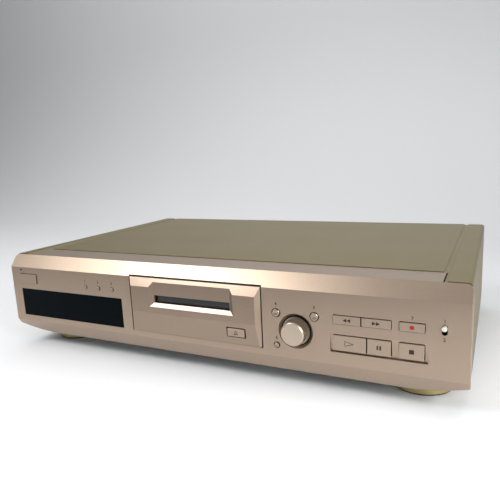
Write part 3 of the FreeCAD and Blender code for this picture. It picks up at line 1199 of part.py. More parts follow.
def cam_slots():
    """What a guide pin sweeps through the plates: a straight slot between two round ends."""
    width = "(guide_pin + guide_gap)"
    angle = math.degrees(math.atan2(value("holder_drop"), value("slide_travel")))
    tools = []
    for y in ("guide_front", "guide_rear"):
        start = "(-1 * %s - slide_sheet - 1)" % SLIDE_IN
        across = "2 * (%s + slide_sheet + 1)" % SLIDE_IN
        tools.append(rod("cam_upper", (start, y, "guide_z"), width, across, "x"))
        tools.append(rod("cam_lower", (start, "%s - slide_travel" % y, "guide_z - holder_drop"), width,
                         across, "x"))
        run = doc.addObject("Part::Box", "cam_run")
        run.setExpression("Length", bound(across))
        run.setExpression("Width", bound("sqrt(slide_travel ^ 2 + holder_drop ^ 2)"))
        run.setExpression("Height", bound("2 * %s" % width))
        run.Placement.Rotation = FreeCAD.Rotation(FreeCAD.Vector(1, 0, 0), angle)
        lean = "%s * %r" % (width, math.sin(math.radians(angle)))
        rise = "%s * %r" % (width, math.cos(math.radians(angle)))
        tools.append(put(run, start, "%s - slide_travel + %s" % (y, lean),
                         "guide_z - holder_drop - %s" % rise))
    return tools


def loading_slide():
    body = new_body("loading_slide")
    out = "(%s + slide_sheet)" % SLIDE_IN
    for name, low, high in (("left", "-1 * " + out, "-1 * " + SLIDE_IN), ("right", SLIDE_IN, out)):
        plate = rect("slide_front", "slide_low", "slide_rear", "slide_bridge + 0.1")
        if name == "left":
            solid(body, "slide_bridge_plate", "XY_Plane", "slide_bridge", "slide_bridge + slide_sheet",
                  rect("-1 * " + out, "slide_front", out, "slide_front + bridge_length"))
        solid(body, "slide_plate_" + name, "YZ_Plane", low, high, plate)
    plates = cut("slide_plates", body, *cam_slots())
    node("loading_slide", fuse("loading_slide", plates, tooth_rack("slide_rack")))


# Loading gears with involute teeth

def gear_shape(teeth, bore, phase):
    """A spur gear about the X axis, its first tooth at the given angle from +Y towards +Z."""
    module = value("gear_module")
    pitch_radius = module * teeth / 2
    base = pitch_radius * math.cos(math.radians(20))
    tip = pitch_radius + module
    root = pitch_radius - 1.25 * module

    def involute(radius):
        roll = math.sqrt(max((radius / base) ** 2 - 1, 0))
        return roll - math.atan(roll)

    half = math.pi / (2 * teeth) - value("backlash") / 2 / (2 * pitch_radius)

    def point(radius, angle):
        return FreeCAD.Vector(0, radius * math.cos(angle), radius * math.sin(angle))

    start = max(base, root)
    edges = []
    for number in range(teeth):
        middle = phase + 2 * math.pi * number / teeth
        next_middle = middle + 2 * math.pi / teeth
        at_radius = [(radius, half + involute(pitch_radius) - involute(radius))
                     for radius in (start, (start + tip) / 2, tip)]
        rising = [point(radius, middle - spread) for radius, spread in at_radius]
        falling = [point(radius, middle + spread) for radius, spread in reversed(at_radius)]
        foot = point(root, middle - at_radius[0][1])
        heel = point(root, middle + at_radius[0][1])
        if (foot - rising[0]).Length > 1e-6:
            edges.append(Part.makeLine(foot, rising[0]))
        edges.append(Part.Arc(*rising).toShape())
        edges.append(Part.makeLine(rising[2], falling[0]))
        edges.append(Part.Arc(*falling).toShape())
        if (heel - falling[2]).Length > 1e-6:
            edges.append(Part.makeLine(falling[2], heel))
        edges.append(Part.makeLine(heel, point(root, next_middle - at_radius[0][1])))
    width = FreeCAD.Vector(value("gear_width"), 0, 0)
    blank = Part.Face(Part.Wire(edges)).extrude(width)
    hole = Part.makeCylinder(bore, 2 * value("gear_width"), FreeCAD.Vector(-1, 0, 0), FreeCAD.Vector(1, 0, 0))
    return blank.cut(hole)


def loading_gears():
    teeth = int(value("gear_teeth"))
    small = int(value("pinion_teeth"))
    # At rest the rack has a tooth right above the gear, so the gear has a gap there
    phase = math.pi / 2 + math.pi / teeth
    gear = doc.addObject("Part::Feature", "loading_gear")
    gear.Shape = gear_shape(teeth, value("stud_radius + running_gap"), phase)
    gear.Placement.Base.x = 0
    node("loading_gear", gear, SLIDE_IN, "gear_y", GEAR_Z)
    # The pinion sits 45 degrees below and behind, its gap facing the gear tooth nearest that line
    line = -math.pi / 4
    offset = (line - phase) % (2 * math.pi / teeth)
    small_phase = line + math.pi - offset * -teeth / small + math.pi / small
    pinion = doc.addObject("Part::Feature", "motor_pinion")
    pinion.Shape = gear_shape(small, value("motor_shaft + running_gap"), small_phase)
    node("motor_pinion", pinion, SLIDE_IN, "gear_y + %s" % PINION_STEP, "%s - %s" % (GEAR_Z, PINION_STEP))
    place = ("gear_y + %s" % PINION_STEP, "%s - %s" % (GEAR_Z, PINION_STEP))
    can = rod("motor_can", ("wall_in - motor_length", *place), "motor_radius", "motor_length", "x")
    shaft = rod("motor_spindle", ("wall_in - 0.5", *place), "motor_shaft",
                "%s + gear_width + 0.6 - wall_in" % SLIDE_IN, "x")
    tail = rod("motor_tail", ("wall_in - motor_length - 2", *place), "3", "2.5", "x")
    node("loading_motor", fuse("loading_motor", can, shaft, tail))


# Spindle, turntable and pickup

def spindle():
    motor = fuse("spindle_motor",
                 rod("spindle_can", ("0", "spindle_y", DECK_TOP), "spindle_motor", "spindle_motor_thick"),
                 rod("spindle_shaft", ("0", "spindle_y", DECK_TOP), "motor_shaft",
                     "spindle_motor_thick + table_gap + table_thick"))
    node("spindle_motor", motor)
    body = new_body("turntable")
    bottom = "(%s + spindle_motor_thick + table_gap)" % DECK_TOP
    profile = [("motor_shaft + running_gap", bottom), ("table_radius", bottom),
               ("table_radius", "%s + table_thick - 0.6" % bottom),
               ("table_radius - 0.6", "%s + table_thick" % bottom),
               ("boss_radius", "%s + table_thick" % bottom),
               ("boss_radius", "%s + table_thick + boss_height - 1.2" % bottom),
               ("boss_radius - 1.2", "%s + table_thick + boss_height" % bottom),
               ("motor_shaft + running_gap", "%s + table_thick + boss_height" % bottom)]
    turn_upright(body, "turntable_turned", profile)
    node("turntable", body, "0", "spindle_y", "0")


def pickup():
    rods = [rod("guide_rod", (x, "rod_front - 4", "rod_z"), "rod_radius", "rod_rear - rod_front + 8", "y")
            for x in ("-rod_x", "rod_x")]
    node("guide_rods", group("guide_rods", *rods))
    body = new_body("pickup_sled")
    rear = "(sled_front + sled_length)"
    solid(body, "sled_frame", "XY_Plane", "sled_low", "sled_high",
          rect("-sled_half", "sled_front", "sled_half", rear))
    solid(body, "sled_objective", "XY_Plane", "sled_high - 0.1", "sled_high + lens_height",
          disc("0", "sled_front + 5", "lens_barrel"))
    solid(body, "sled_nut", "XY_Plane", "rod_z - 1.5", "rod_z + 1.5",
          rect("sled_half - 0.1", "sled_front + 6", "screw_x - lead_radius - 0.3", "sled_front + 14"))
    solid(body, "sled_post", "XY_Plane", "sled_high - 0.1", "arm_axis_z + arm_barrel",
          rect("-arm_half - 0.3 - arm_ear", "%s - 4" % rear, "-arm_half - 0.3", rear),
          rect("arm_half + 0.3", "%s - 4" % rear, "arm_half + 0.3 + arm_ear", rear))
    solid(body, "sled_arm_pin", "YZ_Plane", "-arm_half - 0.4", "arm_half + 0.4",
          disc("%s - 2" % rear, "arm_axis_z", "arm_pin"))
    hollow(body, "sled_rod_holes", "XZ_Plane", "sled_front - 1", "%s + 1" % rear,
           disc("-rod_x", "rod_z", "rod_radius + running_gap"), disc("rod_x", "rod_z",
                                                                     "rod_radius + running_gap"))
    hollow(body, "sled_well", "XY_Plane", "sled_high - 1.2", "sled_high + 0.2",
           rect("-sled_half + 9", "sled_front + 11", "sled_half - 9", "sled_front + 16"))
    node("pickup_sled", body)
    screw = rod("lead_screw", ("0", "0", "0"), "lead_radius", "rod_rear - rod_front + 8", "y")
    node("lead_screw", screw, "screw_x", "rod_front - 4", "rod_z")
    motor = rod("sled_motor", ("0", "0", "0"), "sled_motor_radius", "sled_motor_length", "y")
    node("sled_motor", motor, "screw_x", "rod_rear + 4", "%s + sled_motor_radius" % DECK_TOP)
    arm = new_body("head_arm")
    solid(arm, "arm_barrel_round", "YZ_Plane", "-arm_half", "arm_half", disc("0", "0", "arm_barrel"))
    solid(arm, "arm_blade", "XY_Plane", "-0.5", "0.5",
          [("-arm_half", "0"), ("arm_half", "0"), ("arm_half / 2", "-arm_reach"),
           ("-arm_half / 2", "-arm_reach")])
    solid(arm, "arm_head", "XY_Plane", "-2", "0.4",
          rect("-arm_half / 2", "-arm_reach - 2.5", "arm_half / 2", "3 - arm_reach"))
    hollow(arm, "arm_bore", "YZ_Plane", "-arm_half - 1", "arm_half + 1",
           disc("0", "0", "arm_pin + running_gap"))
    node("head_arm", arm, "0", "%s - 2" % rear, "arm_axis_z")


# Electronics on the pan

def lifted(name, x0, y0, x1, y1, base, height):
    return block(name, (x0, y0, base), (x1, y1, "%s + %s" % (base, height)))


def electronics():
    for name, side in (("main_board", "main"), ("supply_board", "supply")):
        body = new_body(name)
        solid(body, name + "_plate", "XY_Plane", "main_z", "main_z + board_thick",
              rect(side + "_left", side + "_front", side + "_right", side + "_rear"))
        node(name, body)
    top = "(main_z + board_thick)"
    chips = [lifted("chip", "main_left + %s * main_width" % x, "main_front + %s * main_depth" % y,
                    "main_left + %s * main_width + %s * chip_side" % (x, w),
                    "main_front + %s * main_depth + %s * chip_side" % (y, d), top, "%s * chip_thick" % tall)
             for x, y, w, d, tall in ((0.16, 0.12, 1, 1, 1), (0.46, 0.15, 0.75, 0.75, 1),
                                      (0.70, 0.11, 0.6, 0.4, 0.8), (0.17, 0.39, 0.65, 0.5, 0.9),
                                      (0.42, 0.42, 1.2, 0.4, 3.5), (0.06, 0.12, 0.25, 1.4, 3.3),
                                      (0.73, 0.36, 0.8, 0.8, 1), (0.70, 0.66, 0.5, 0.4, 1))]
    cans = [rod("capacitor", ("main_left + %s * main_width" % x, "main_front + %s * main_depth" % y, top),
                "%s * can_radius" % wide, "%s * can_height" % tall)
            for x, y, wide, tall in ((0.35, 0.66, 0.8, 0.8), (0.44, 0.67, 0.8, 0.8), (0.54, 0.65, 1, 1),
                                     (0.21, 0.63, 0.8, 0.8), (0.87, 0.24, 0.7, 0.6), (0.63, 0.83, 0.8, 0.8))]
    bulk = [rod("reservoir", ("supply_left + %s * supply_width" % x, "supply_front + %s * supply_depth" % y,
                              top), "%s * can_radius" % wide, "%s * can_height" % tall)
            for x, y, wide, tall in ((0.23, 0.31, 1.8, 2.1), (0.47, 0.29, 1.3, 1.6), (0.67, 0.26, 1.3, 1.6),
                                     (0.27, 0.71, 1, 1))]
    left = "(supply_right - board_corner - sink_width)"
    front = "(supply_rear - board_corner - spacer_radius - sink_depth)"
    sink = lifted("heat_sink", left, front, left + " + sink_width", front + " + 2 * fin_thick", top,
                  "sink_height")
    step = "(sink_width - fin_thick) / (fin_count - 1)"
    fins = [lifted("heat_fin", "%s + %d * %s" % (left, number, step), front + " + fin_thick",
                   "%s + %d * %s + fin_thick" % (left, number, step), front + " + sink_depth", top,
                   "sink_height") for number in range(int(value("fin_count")))]
    regulator = lifted("regulator", left + " + sink_width * 0.3", front + " - chip_side / 5",
                       left + " + sink_width * 0.6", front + " + fin_thick", top, "sink_height / 2")
    cooler = fuse("finned_sink", sink, *fins, regulator)
    node("board_parts", group("board_parts", *chips, *cans, *bulk, cooler))


def transformer():
    body = new_body("transformer_core")
    low = PAN_TOP
    high = "(%s + core_height)" % PAN_TOP
    solid(body, "core_stack", "XZ_Plane", "-core_depth / 2", "core_depth / 2",
          rect("-core_width / 2", low, "core_width / 2", high))
    limb = "core_limb"
    hollow(body, "core_windows", "XZ_Plane", "-core_depth / 2 - 1", "core_depth / 2 + 1",
           rect("-core_width / 2 + " + limb, low + " + " + limb, "-core_limb", high + " - " + limb),
           rect("core_limb", low + " + " + limb, "core_width / 2 - " + limb, high + " - " + limb))
    solid(body, "core_feet", "XY_Plane", low, "%s + sheet_steel" % low,
          rect("-core_width / 2 - core_ear", "-core_foot / 2", "core_width / 2 + core_ear", "core_foot / 2"))
    node("transformer_core", body, "core_x", "core_y", "0")
    coil = new_body("transformer_winding")
    inner = "(core_limb + winding_gap)"
    outer = "(core_width / 2 - core_limb - winding_gap)"
    solid(coil, "coil_wrap", "XY_Plane", "%s + core_limb + winding_gap" % low,
          "%s - core_limb - winding_gap" % high,
          rect("-1 * " + outer, "-core_depth / 2 - winding_bulge", outer, "core_depth / 2 + winding_bulge"))
    solid_sides = "(core_depth / 2 + winding_gap)"
    hollow(coil, "coil_room", "XY_Plane", "%s + core_limb" % low, "%s - core_limb" % high,
           rect("-1 * " + inner, "-1 * " + solid_sides, inner, solid_sides))
    node("transformer_winding", coil, "core_x", "core_y", "0")


# Rear sockets

def rear_sockets():
    seat = REAR_PANEL
    tip = "(body_depth + jack_proud)"
    collar_end = "(body_depth + collar_proud)"
    base = block("jack_base", ("jack_x - jack_pitch_x / 2 - jack_margin", "%s - jack_block_depth" % seat,
                               "jack_z - jack_pitch_z / 2 - jack_margin"),
                 ("jack_x + jack_pitch_x / 2 + jack_margin", "%s - seat_gap / 2" % seat,
                  "jack_z + jack_pitch_z / 2 + jack_margin"))
    collars = [rod("jack_collar", (x, "%s - 1" % seat, z), "jack_collar", "%s - %s + 1" % (collar_end, seat),
                   "y") for x, z in JACKS]
    tubes = [cut("jack_tube", rod("jack_core", (x, collar_end, z), "jack_core",
                                  "%s - %s" % (tip, collar_end), "y"),
                 rod("jack_bore", (x, "%s - 1" % collar_end, z), "jack_bore",
                     "%s - %s + 2" % (tip, collar_end), "y")) for x, z in JACKS]
    node("line_jacks", group("line_jacks", fuse("jack_block", base, *collars), *tubes))
    shells = [cut("jack_shell", rod("shell_outside", (x, collar_end, z), "jack_shell",
                                    "%s - %s - shell_short" % (tip, collar_end), "y"),
                  rod("shell_inside", (x, "%s - 1" % collar_end, z), "jack_core + running_gap",
                      "%s - %s + 2" % (tip, collar_end), "y")) for x, z in JACKS]
    node("jack_shells", group("jack_shells", *shells))
    sockets = []
    for x in OPTICS:
        case = block("optic_case", ("%s - optic_half" % x, "%s - 9" % seat, "optic_z - optic_half"),
                     ("%s + optic_half" % x, "body_depth + 1", "optic_z + optic_half"))
        mouth = block("optic_mouth", ("%s - optic_mouth" % x, "body_depth + 1 - optic_depth",
                                      "optic_z - optic_mouth"),
                      ("%s + optic_mouth" % x, "body_depth + 2", "optic_z + optic_mouth"))
        fibre = rod("optic_fibre", (x, "body_depth - optic_depth - 1", "optic_z"), "optic_fibre", "6", "y")
        sockets.append(cut("optic_socket", case, mouth, fibre))
    node("optical_sockets", group("optical_sockets", *sockets))
    gland = new_body("cord_gland")
    out = "(body_depth - sheet_steel)"
    profile = [("%s - 3" % seat, "gland_bore"), ("%s - 3" % seat, "gland_radius + 1"),
               ("%s - 0.1" % seat, "gland_radius + 1"), ("%s - 0.1" % seat, "gland_radius"),
               ("%s + 0.1" % out, "gland_radius"), ("%s + 0.1" % out, "gland_flange"),
               ("%s + 2" % out, "gland_flange - 0.8"), ("%s + 3" % out, "gland_bore + 2"),
               ("%s + 3" % out, "gland_bore")]
    turn(gland, "gland_turned", profile)
    node("cord_gland", gland, "gland_x", "0", "gland_z")


front_panel()
top_cover()
chassis_pan()
rear_panel()
feet()
cover_screws()
display_side()
boards()
keys()
jog()
selector()
disc_block()
slot_flap()
mechanism_bracket()
cartridge_holder()
loading_slide()
loading_gears()
spindle()
pickup()
electronics()
transformer()
rear_sockets()
doc.recompute()

# Nothing is written unless every feature is up to date and every cut took something away
for item in doc.Objects:
    if "Invalid" in item.State or "Error" in item.State:
        raise RuntimeError("%s (%s) failed: %s" % (item.Label, item.Name, item.State))
    if item.TypeId == "PartDesign::Pocket" and item.BaseFeature.Shape.Volume - item.Shape.Volume < 1e-3:
        raise RuntimeError("%s cuts nothing" % item.Name)
for thing in NODES:
    if thing.Shape.isNull() or not thing.Shape.isValid():
        raise RuntimeError("%s has no valid shape" % thing.Label)

os.makedirs("parts", exist_ok=True)
for thing in NODES:
    thing.Shape.exportStep("parts/%s.step" % thing.Label)
print("%d sub-parts written" % len(NODES))
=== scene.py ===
import math

import bmesh
import bpy
from mathutils import Matrix, Vector


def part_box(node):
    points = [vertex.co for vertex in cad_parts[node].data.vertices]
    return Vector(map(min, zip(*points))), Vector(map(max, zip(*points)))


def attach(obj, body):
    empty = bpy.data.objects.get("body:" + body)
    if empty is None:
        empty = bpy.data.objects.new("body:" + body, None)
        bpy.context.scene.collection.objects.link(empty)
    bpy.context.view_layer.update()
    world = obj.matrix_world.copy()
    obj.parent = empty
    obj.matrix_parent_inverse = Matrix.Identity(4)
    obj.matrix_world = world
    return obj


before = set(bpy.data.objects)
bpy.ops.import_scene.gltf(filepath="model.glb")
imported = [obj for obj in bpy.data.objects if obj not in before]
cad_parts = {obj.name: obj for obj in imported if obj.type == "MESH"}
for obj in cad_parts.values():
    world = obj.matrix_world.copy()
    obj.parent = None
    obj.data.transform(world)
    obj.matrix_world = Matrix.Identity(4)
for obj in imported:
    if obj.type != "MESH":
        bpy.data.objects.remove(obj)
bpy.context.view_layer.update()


# Front moulding
# One plastic moulding with a flat face, two leaning bands and a ledge on top, sprayed with a
# champagne metallic paint. Its fine flake shows in the highlights, and a near-black painted shade
# darkens the walls deep inside the holes.

CHAMPAGNE = (0.375, 0.289, 0.221)
FLAKE_SIZE = 2600.0
FLAKE_RELIEF = 0.06
GLOSS_CLOUDS = 14.0
GRAIN_HEIGHT = 0.0002
# Near-black painted shade for the walls deep inside holes and gaps
GAP_SHADE_COLOUR = (0.010, 0.009, 0.008)
KNOB_PROUD = 0.008
FACE_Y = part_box("jog_knob")[0].y + KNOB_PROUD


def new_material(name, colour, metallic, roughness):
    """A plain principled material, with its node tree and its shader to add detail to."""
    material = bpy.data.materials.new(name)
    material.use_nodes = True
    shader = material.node_tree.nodes["Principled BSDF"]
    shader.inputs["Base Color"].default_value = (*colour, 1.0)
    shader.inputs["Metallic"].default_value = metallic
    shader.inputs["Roughness"].default_value = roughness
    return material, material.node_tree, shader


def noise(tree, scale, detail=2.0, stretch=(1.0, 1.0, 1.0)):
    """Noise over the piece itself, stretched along an axis where the finish has a grain."""
    place = tree.nodes.new("ShaderNodeTexCoord")
    grain = tree.nodes.new("ShaderNodeMapping")
    grain.inputs["Scale"].default_value = stretch
    pattern = tree.nodes.new("ShaderNodeTexNoise")
    pattern.inputs["Scale"].default_value = scale
    pattern.inputs["Detail"].default_value = detail
    tree.links.new(place.outputs["Object"], grain.inputs["Vector"])
    tree.links.new(grain.outputs["Vector"], pattern.inputs["Vector"])
    return pattern.outputs["Fac"]


def blend(tree, factor, low, high):
    """Two colours mixed by a pattern."""
    ramp = tree.nodes.new("ShaderNodeValToRGB")
    ramp.color_ramp.elements[0].position = 0.3
    ramp.color_ramp.elements[1].position = 0.7
    ramp.color_ramp.elements[0].color = (*low, 1.0)
    ramp.color_ramp.elements[1].color = (*high, 1.0)
    tree.links.new(factor, ramp.inputs["Fac"])
    return ramp.outputs["Color"]


def spread(tree, factor, low, high):
    """A pattern brought into a range of values."""
    remap = tree.nodes.new("ShaderNodeMapRange")
    remap.inputs["To Min"].default_value = low
    remap.inputs["To Max"].default_value = high
    tree.links.new(factor, remap.inputs["Value"])
    return remap.outputs["Result"]


def relief(tree, shader, height, strength):
    """A pattern as a fine relief in the surface."""
    bump = tree.nodes.new("ShaderNodeBump")
    bump.inputs["Strength"].default_value = strength
    bump.inputs["Distance"].default_value = GRAIN_HEIGHT
    tree.links.new(height, bump.inputs["Height"])
    tree.links.new(bump.outputs["Normal"], shader.inputs["Normal"])


def shade(colour, amount):
    """A colour made darker or lighter."""
    return tuple(part * amount for part in colour)


def maths(tree, operation, value, limit):
    """One sum on a pattern; the limit is a number or another pattern."""
    sum_node = tree.nodes.new("ShaderNodeMath")
    sum_node.operation = operation
    tree.links.new(value, sum_node.inputs[0])
    if isinstance(limit, float):
        sum_node.inputs[1].default_value = limit
    else:
        tree.links.new(limit, sum_node.inputs[1])
    return sum_node.outputs[0]


def bare_inside(tree, paint, regions):
    """The paint, with a near-black painted shade in each region, given as limits along X, Y and Z.
    """
    place = tree.nodes.new("ShaderNodeTexCoord")
    split = tree.nodes.new("ShaderNodeSeparateXYZ")
    tree.links.new(place.outputs["Object"], split.inputs["Vector"])
    gap_shade = None
    for region in regions:
        part = None
        for axis, limits in region.items():
            for operation, limit in zip(("GREATER_THAN", "LESS_THAN"), limits):
                if limit is not None:
                    test = maths(tree, operation, split.outputs[axis], limit)
                    part = maths(tree, "MULTIPLY", part, test) if part else test
        gap_shade = maths(tree, "MAXIMUM", gap_shade, part) if gap_shade else part
    mixer = tree.nodes.new("ShaderNodeMixRGB")
    mixer.inputs["Color2"].default_value = (*GAP_SHADE_COLOUR, 1.0)
    tree.links.new(gap_shade, mixer.inputs["Fac"])
    tree.links.new(paint, mixer.inputs["Color1"])
    return mixer.outputs["Color"]


def metallic_paint(name, colour, metallic=0.85, roughness=0.36, flake=0.10, grain=0.05,
                   gap_shade=()):
    """Sprayed metallic paint: flakes in the colour, a soft orange peel and uneven gloss."""
    material, tree, shader = new_material(name, colour, metallic, roughness)
    flakes = noise(tree, FLAKE_SIZE, 3.0)
    paint = blend(tree, flakes, shade(colour, 1 - flake), shade(colour, 1 + flake))
    # Painted shade: a near-black colour inside the holes and gaps, where shade falls
    if gap_shade:
        paint = bare_inside(tree, paint, gap_shade)
    tree.links.new(paint, shader.inputs["Base Color"])
    cloud = noise(tree, GLOSS_CLOUDS, 4.0)
    gloss = spread(tree, cloud, roughness - grain, roughness + grain)
    tree.links.new(gloss, shader.inputs["Roughness"])
    relief(tree, shader, flakes, FLAKE_RELIEF)
    return material


def finish(material, *names):
    """Give CAD pieces their finish."""
    for name in names:
        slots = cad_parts[name].data.materials
        if not slots:
            slots.append(material)
        for index in range(len(slots)):
            slots[index] = material


# The paint reaches a little way into the holes, and all over the recess and the knob's well; beyond
# that the walls take a near-black painted shade
PANEL_SHADE_FROM = FACE_Y + 0.0003
RECESS_SHADE_FROM = FACE_Y + 0.00195
FLAT_FACE = (0.0285, 0.0826)
END_WALL = 0.2125
WELL_LEFT = 0.0779
WELL_RIGHT = 0.103
RECESS_TOP = 0.0585

champagne = metallic_paint("champagne paint", CHAMPAGNE, gap_shade=[
    {"Y": (PANEL_SHADE_FROM, None), "X": (-END_WALL, WELL_LEFT), "Z": FLAT_FACE},
    {"Y": (PANEL_SHADE_FROM, None), "X": (WELL_RIGHT, END_WALL), "Z": (RECESS_TOP, FLAT_FACE[1])},
    {"Y": (RECESS_SHADE_FROM, None), "X": (-END_WALL, END_WALL), "Z": FLAT_FACE}])
finish(champagne, "front_panel")


# Top cover and rear panel
# Folded steel sheet with two pressed grooves, stoved with a fine olive-gold paint. The cover is
# screwed to the rear panel behind.

OLIVE_GOLD = (0.245, 0.196, 0.092)

cover_paint = metallic_paint("olive gold paint", OLIVE_GOLD, roughness=0.42, flake=0.12,
                             grain=0.04)
finish(cover_paint, "top_cover", "rear_panel")


# Disc block, its eject button and the slot flap
# A second moulding in a slightly darker paint stands proud of the panel. Its scooped recess leads
# to the slot, which a dark smooth flap closes from behind.

BLOCK_BEIGE = (0.30, 0.229, 0.174)
# Painted shade: the block's walls behind the panel face and the eject hole's walls are near-black
BLOCK_SHADE_FROM = FACE_Y - 0.0001
EJECT_WELL_SHADE = {"X": (0.0330, 0.0515), "Y": (FACE_Y - 0.0020, None), "Z": (0.0390, 0.0488)}
FLAP_DARK = (0.008, 0.010, 0.010)

block_paint = metallic_paint("block paint", BLOCK_BEIGE, roughness=0.34,
                             gap_shade=[{"Y": (BLOCK_SHADE_FROM, None)}, EJECT_WELL_SHADE])
finish(block_paint, "disc_block")


def moulded(name, colour, roughness, grain=1800.0, depth=0.03):
    """Moulded plastic with a fine spark-eroded grain, more or less rubbed smooth."""
    material, tree, shader = new_material(name, colour, 0.0, roughness)
    texture = noise(tree, grain)
    relief(tree, shader, texture, depth)
    wear = noise(tree, 30.0, 5.0)
    gloss = spread(tree, wear, roughness - 0.05, roughness + 0.07)
    tree.links.new(gloss, shader.inputs["Roughness"])
    return material


finish(moulded("flap plastic", FLAP_DARK, 0.22), "slot_flap")


# Display window, its tube and the standby lens
# A polished dark acrylic plate, flush with the panel, hides a vacuum tube on its board.

WINDOW_BLACK = (0.0015, 0.0030, 0.0042)
LENS_RED = (0.06, 0.010, 0.010)
TUBE_GREY = (0.10, 0.14, 0.15)
ACRYLIC_IOR = 1.49

window_acrylic, window_tree, window_shader = new_material("window acrylic", WINDOW_BLACK, 0.0, 0.06)
window_shader.inputs["IOR"].default_value = ACRYLIC_IOR
window_shader.inputs["Specular IOR Level"].default_value = 0.03
smear = noise(window_tree, 9.0, 3.0)
window_tree.links.new(spread(window_tree, smear, 0.04, 0.11), window_shader.inputs["Roughness"])
finish(window_acrylic, "display_window")

finish(moulded("standby lens", LENS_RED, 0.18), "standby_lens")

tube_glass, tube_tree, tube_shader = new_material("tube glass", TUBE_GREY, 0.0, 0.05)
tube_shader.inputs["Transmission Weight"].default_value = 0.5
tube_tree.links.new(spread(tube_tree, noise(tube_tree, 20.0), 0.03, 0.09),
                    tube_shader.inputs["Roughness"])
finish(tube_glass, "display_tube")


# Buttons and transport keys
# Small mouldings in the panel's paint, a little smoother from use, with printed signs: plain
# triangles, bars, a square and a red dot.

KEY_CHAMPAGNE = (0.375, 0.289, 0.221)
SIGN_BLACK = (0.007, 0.006, 0.006)
SIGN_RED = (0.30, 0.006, 0.012)
SIGN_LIFT = 0.00004
# Painted shade: each key's sides inside its hole are near-black
KEY_SHADE_FROM = FACE_Y - 0.0002
EJECT_SHADE_FROM = FACE_Y - 0.0024
ROUND_BUTTONS = ["time_button", "display_button", "scroll_button", "menu_button", "confirm_button",
                 "clear_button"]
KEYS = ["power_button", "rewind_button", "forward_button", "record_button", "play_button",
        "pause_button", "stop_button"]

key_paint = metallic_paint("key paint", KEY_CHAMPAGNE, roughness=0.32,
                           gap_shade=[{"Y": (KEY_SHADE_FROM, None)}])
finish(key_paint, *KEYS, *ROUND_BUTTONS)
eject_paint = metallic_paint("eject paint", KEY_CHAMPAGNE, roughness=0.32,
                             gap_shade=[{"Y": (EJECT_SHADE_FROM, None)}])
finish(eject_paint, "eject_button")
sign_ink = moulded("black ink", SIGN_BLACK, 0.5)
red_ink = moulded("red ink", SIGN_RED, 0.4)


def piece(name, bm, material, body):
    """Make a mesh object from a bmesh, in place, that rides on a body."""
    mesh = bpy.data.meshes.new(name)
    bm.to_mesh(mesh)
    bm.free()
    thing = bpy.data.objects.new(name, mesh)
    bpy.context.scene.collection.objects.link(thing)
    mesh.materials.append(material)
    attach(thing, body)


def flat_sign(bm, corners, y):
    """One flat face seen from the front, its corners given as x and z in metres."""
    verts = [bm.verts.new((x, y, z)) for x, z in corners]
    face = bm.faces.new(verts)
    face.normal_update()
    if face.normal.y > 0:
        face.normal_flip()


def key_face(name):
    """Middle and front of a key."""
    low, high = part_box(name)
    return (low.x + high.x) / 2, low.y - SIGN_LIFT, (low.z + high.z) / 2


def triangle(x, size, way):
    """Corners of a triangle as wide as it is high, its tip to one side."""
    base, tip = x - way * size / 2, x + way * size / 2
    return [(base, size / 2), (tip, 0), (base, -size / 2)]


def bar(x, z, width, height):
    """Corners of an upright rectangle."""
    return [(x - width / 2, z - height / 2), (x + width / 2, z - height / 2),
            (x + width / 2, z + height / 2), (x - width / 2, z + height / 2)]


def sign(name, key, shapes, material=sign_ink):
    """Solid shapes printed on a key, their corners counted from its middle."""
    x, y, z = key_face(key)
    bm = bmesh.new()
    for shape in shapes:
        flat_sign(bm, [(x + dx, z + dz) for dx, dz in shape], y)
    piece(name, bm, material, key)


ARROW = 0.00285
BARS_APART = 0.0010
BAR_SIZE = (0.0011, 0.0032)
SQUARE_SIZE = (0.0034, 0.0032)
DOT_RADIUS = 0.0016

sign("rewind_sign", "rewind_button", [triangle(x, ARROW, -1) for x in (-ARROW / 2, ARROW / 2)])
sign("forward_sign", "forward_button", [triangle(x, ARROW, 1) for x in (-ARROW / 2, ARROW / 2)])
sign("pause_sign", "pause_button", [bar(x, 0, *BAR_SIZE) for x in (-BARS_APART, BARS_APART)])
sign("stop_sign", "stop_button", [bar(0, 0, *SQUARE_SIZE)])
dot = [(DOT_RADIUS * math.cos(math.radians(a)), DOT_RADIUS * math.sin(math.radians(a)))
       for a in range(0, 360, 12)]
sign("record_sign", "record_button", [dot], red_ink)

SIGN_LINE = 0.0004
PLAY_CORNERS = [(-0.0035, 0.0021), (0.0036, 0), (-0.0035, -0.0021)]
EJECT_CORNERS = [(-0.0017, -0.0004), (0.0017, -0.0004), (0, 0.0021)]
EJECT_BAR = (0, -0.0013, 0.0034, 0.0007)


def outline_sign(name, key, corners):
    """A hollow sign: the outline of a shape, inset by the width of its line."""
    x, y, z = key_face(key)
    bm = bmesh.new()
    flat_sign(bm, [(x + dx, z + dz) for dx, dz in corners], y)
    whole = bm.faces[:]
    bmesh.ops.inset_individual(bm, faces=whole, thickness=SIGN_LINE, use_even_offset=True)
    bmesh.ops.delete(bm, geom=whole, context="FACES_ONLY")
    piece(name, bm, sign_ink, key)


outline_sign("play_sign", "play_button", PLAY_CORNERS)
outline_sign("eject_sign", "eject_button", EJECT_CORNERS)
sign("eject_bar", "eject_button", [bar(*EJECT_BAR)])


# Numbers printed on the panel
# Plain small figures over the round buttons and by the input switch, screen printed in a dark
# brown ink.

INK_BROWN = (0.022, 0.017, 0.014)
FIGURE_SIZE = 0.0036
FIGURE_BOLD = 0.00007
FIGURE_OVER_KEY = 0.0011
UPPER_FIGURE_Z = 0.0683
LOWER_FIGURE_Z = 0.0554
print_ink = moulded("brown ink", INK_BROWN, 0.5)


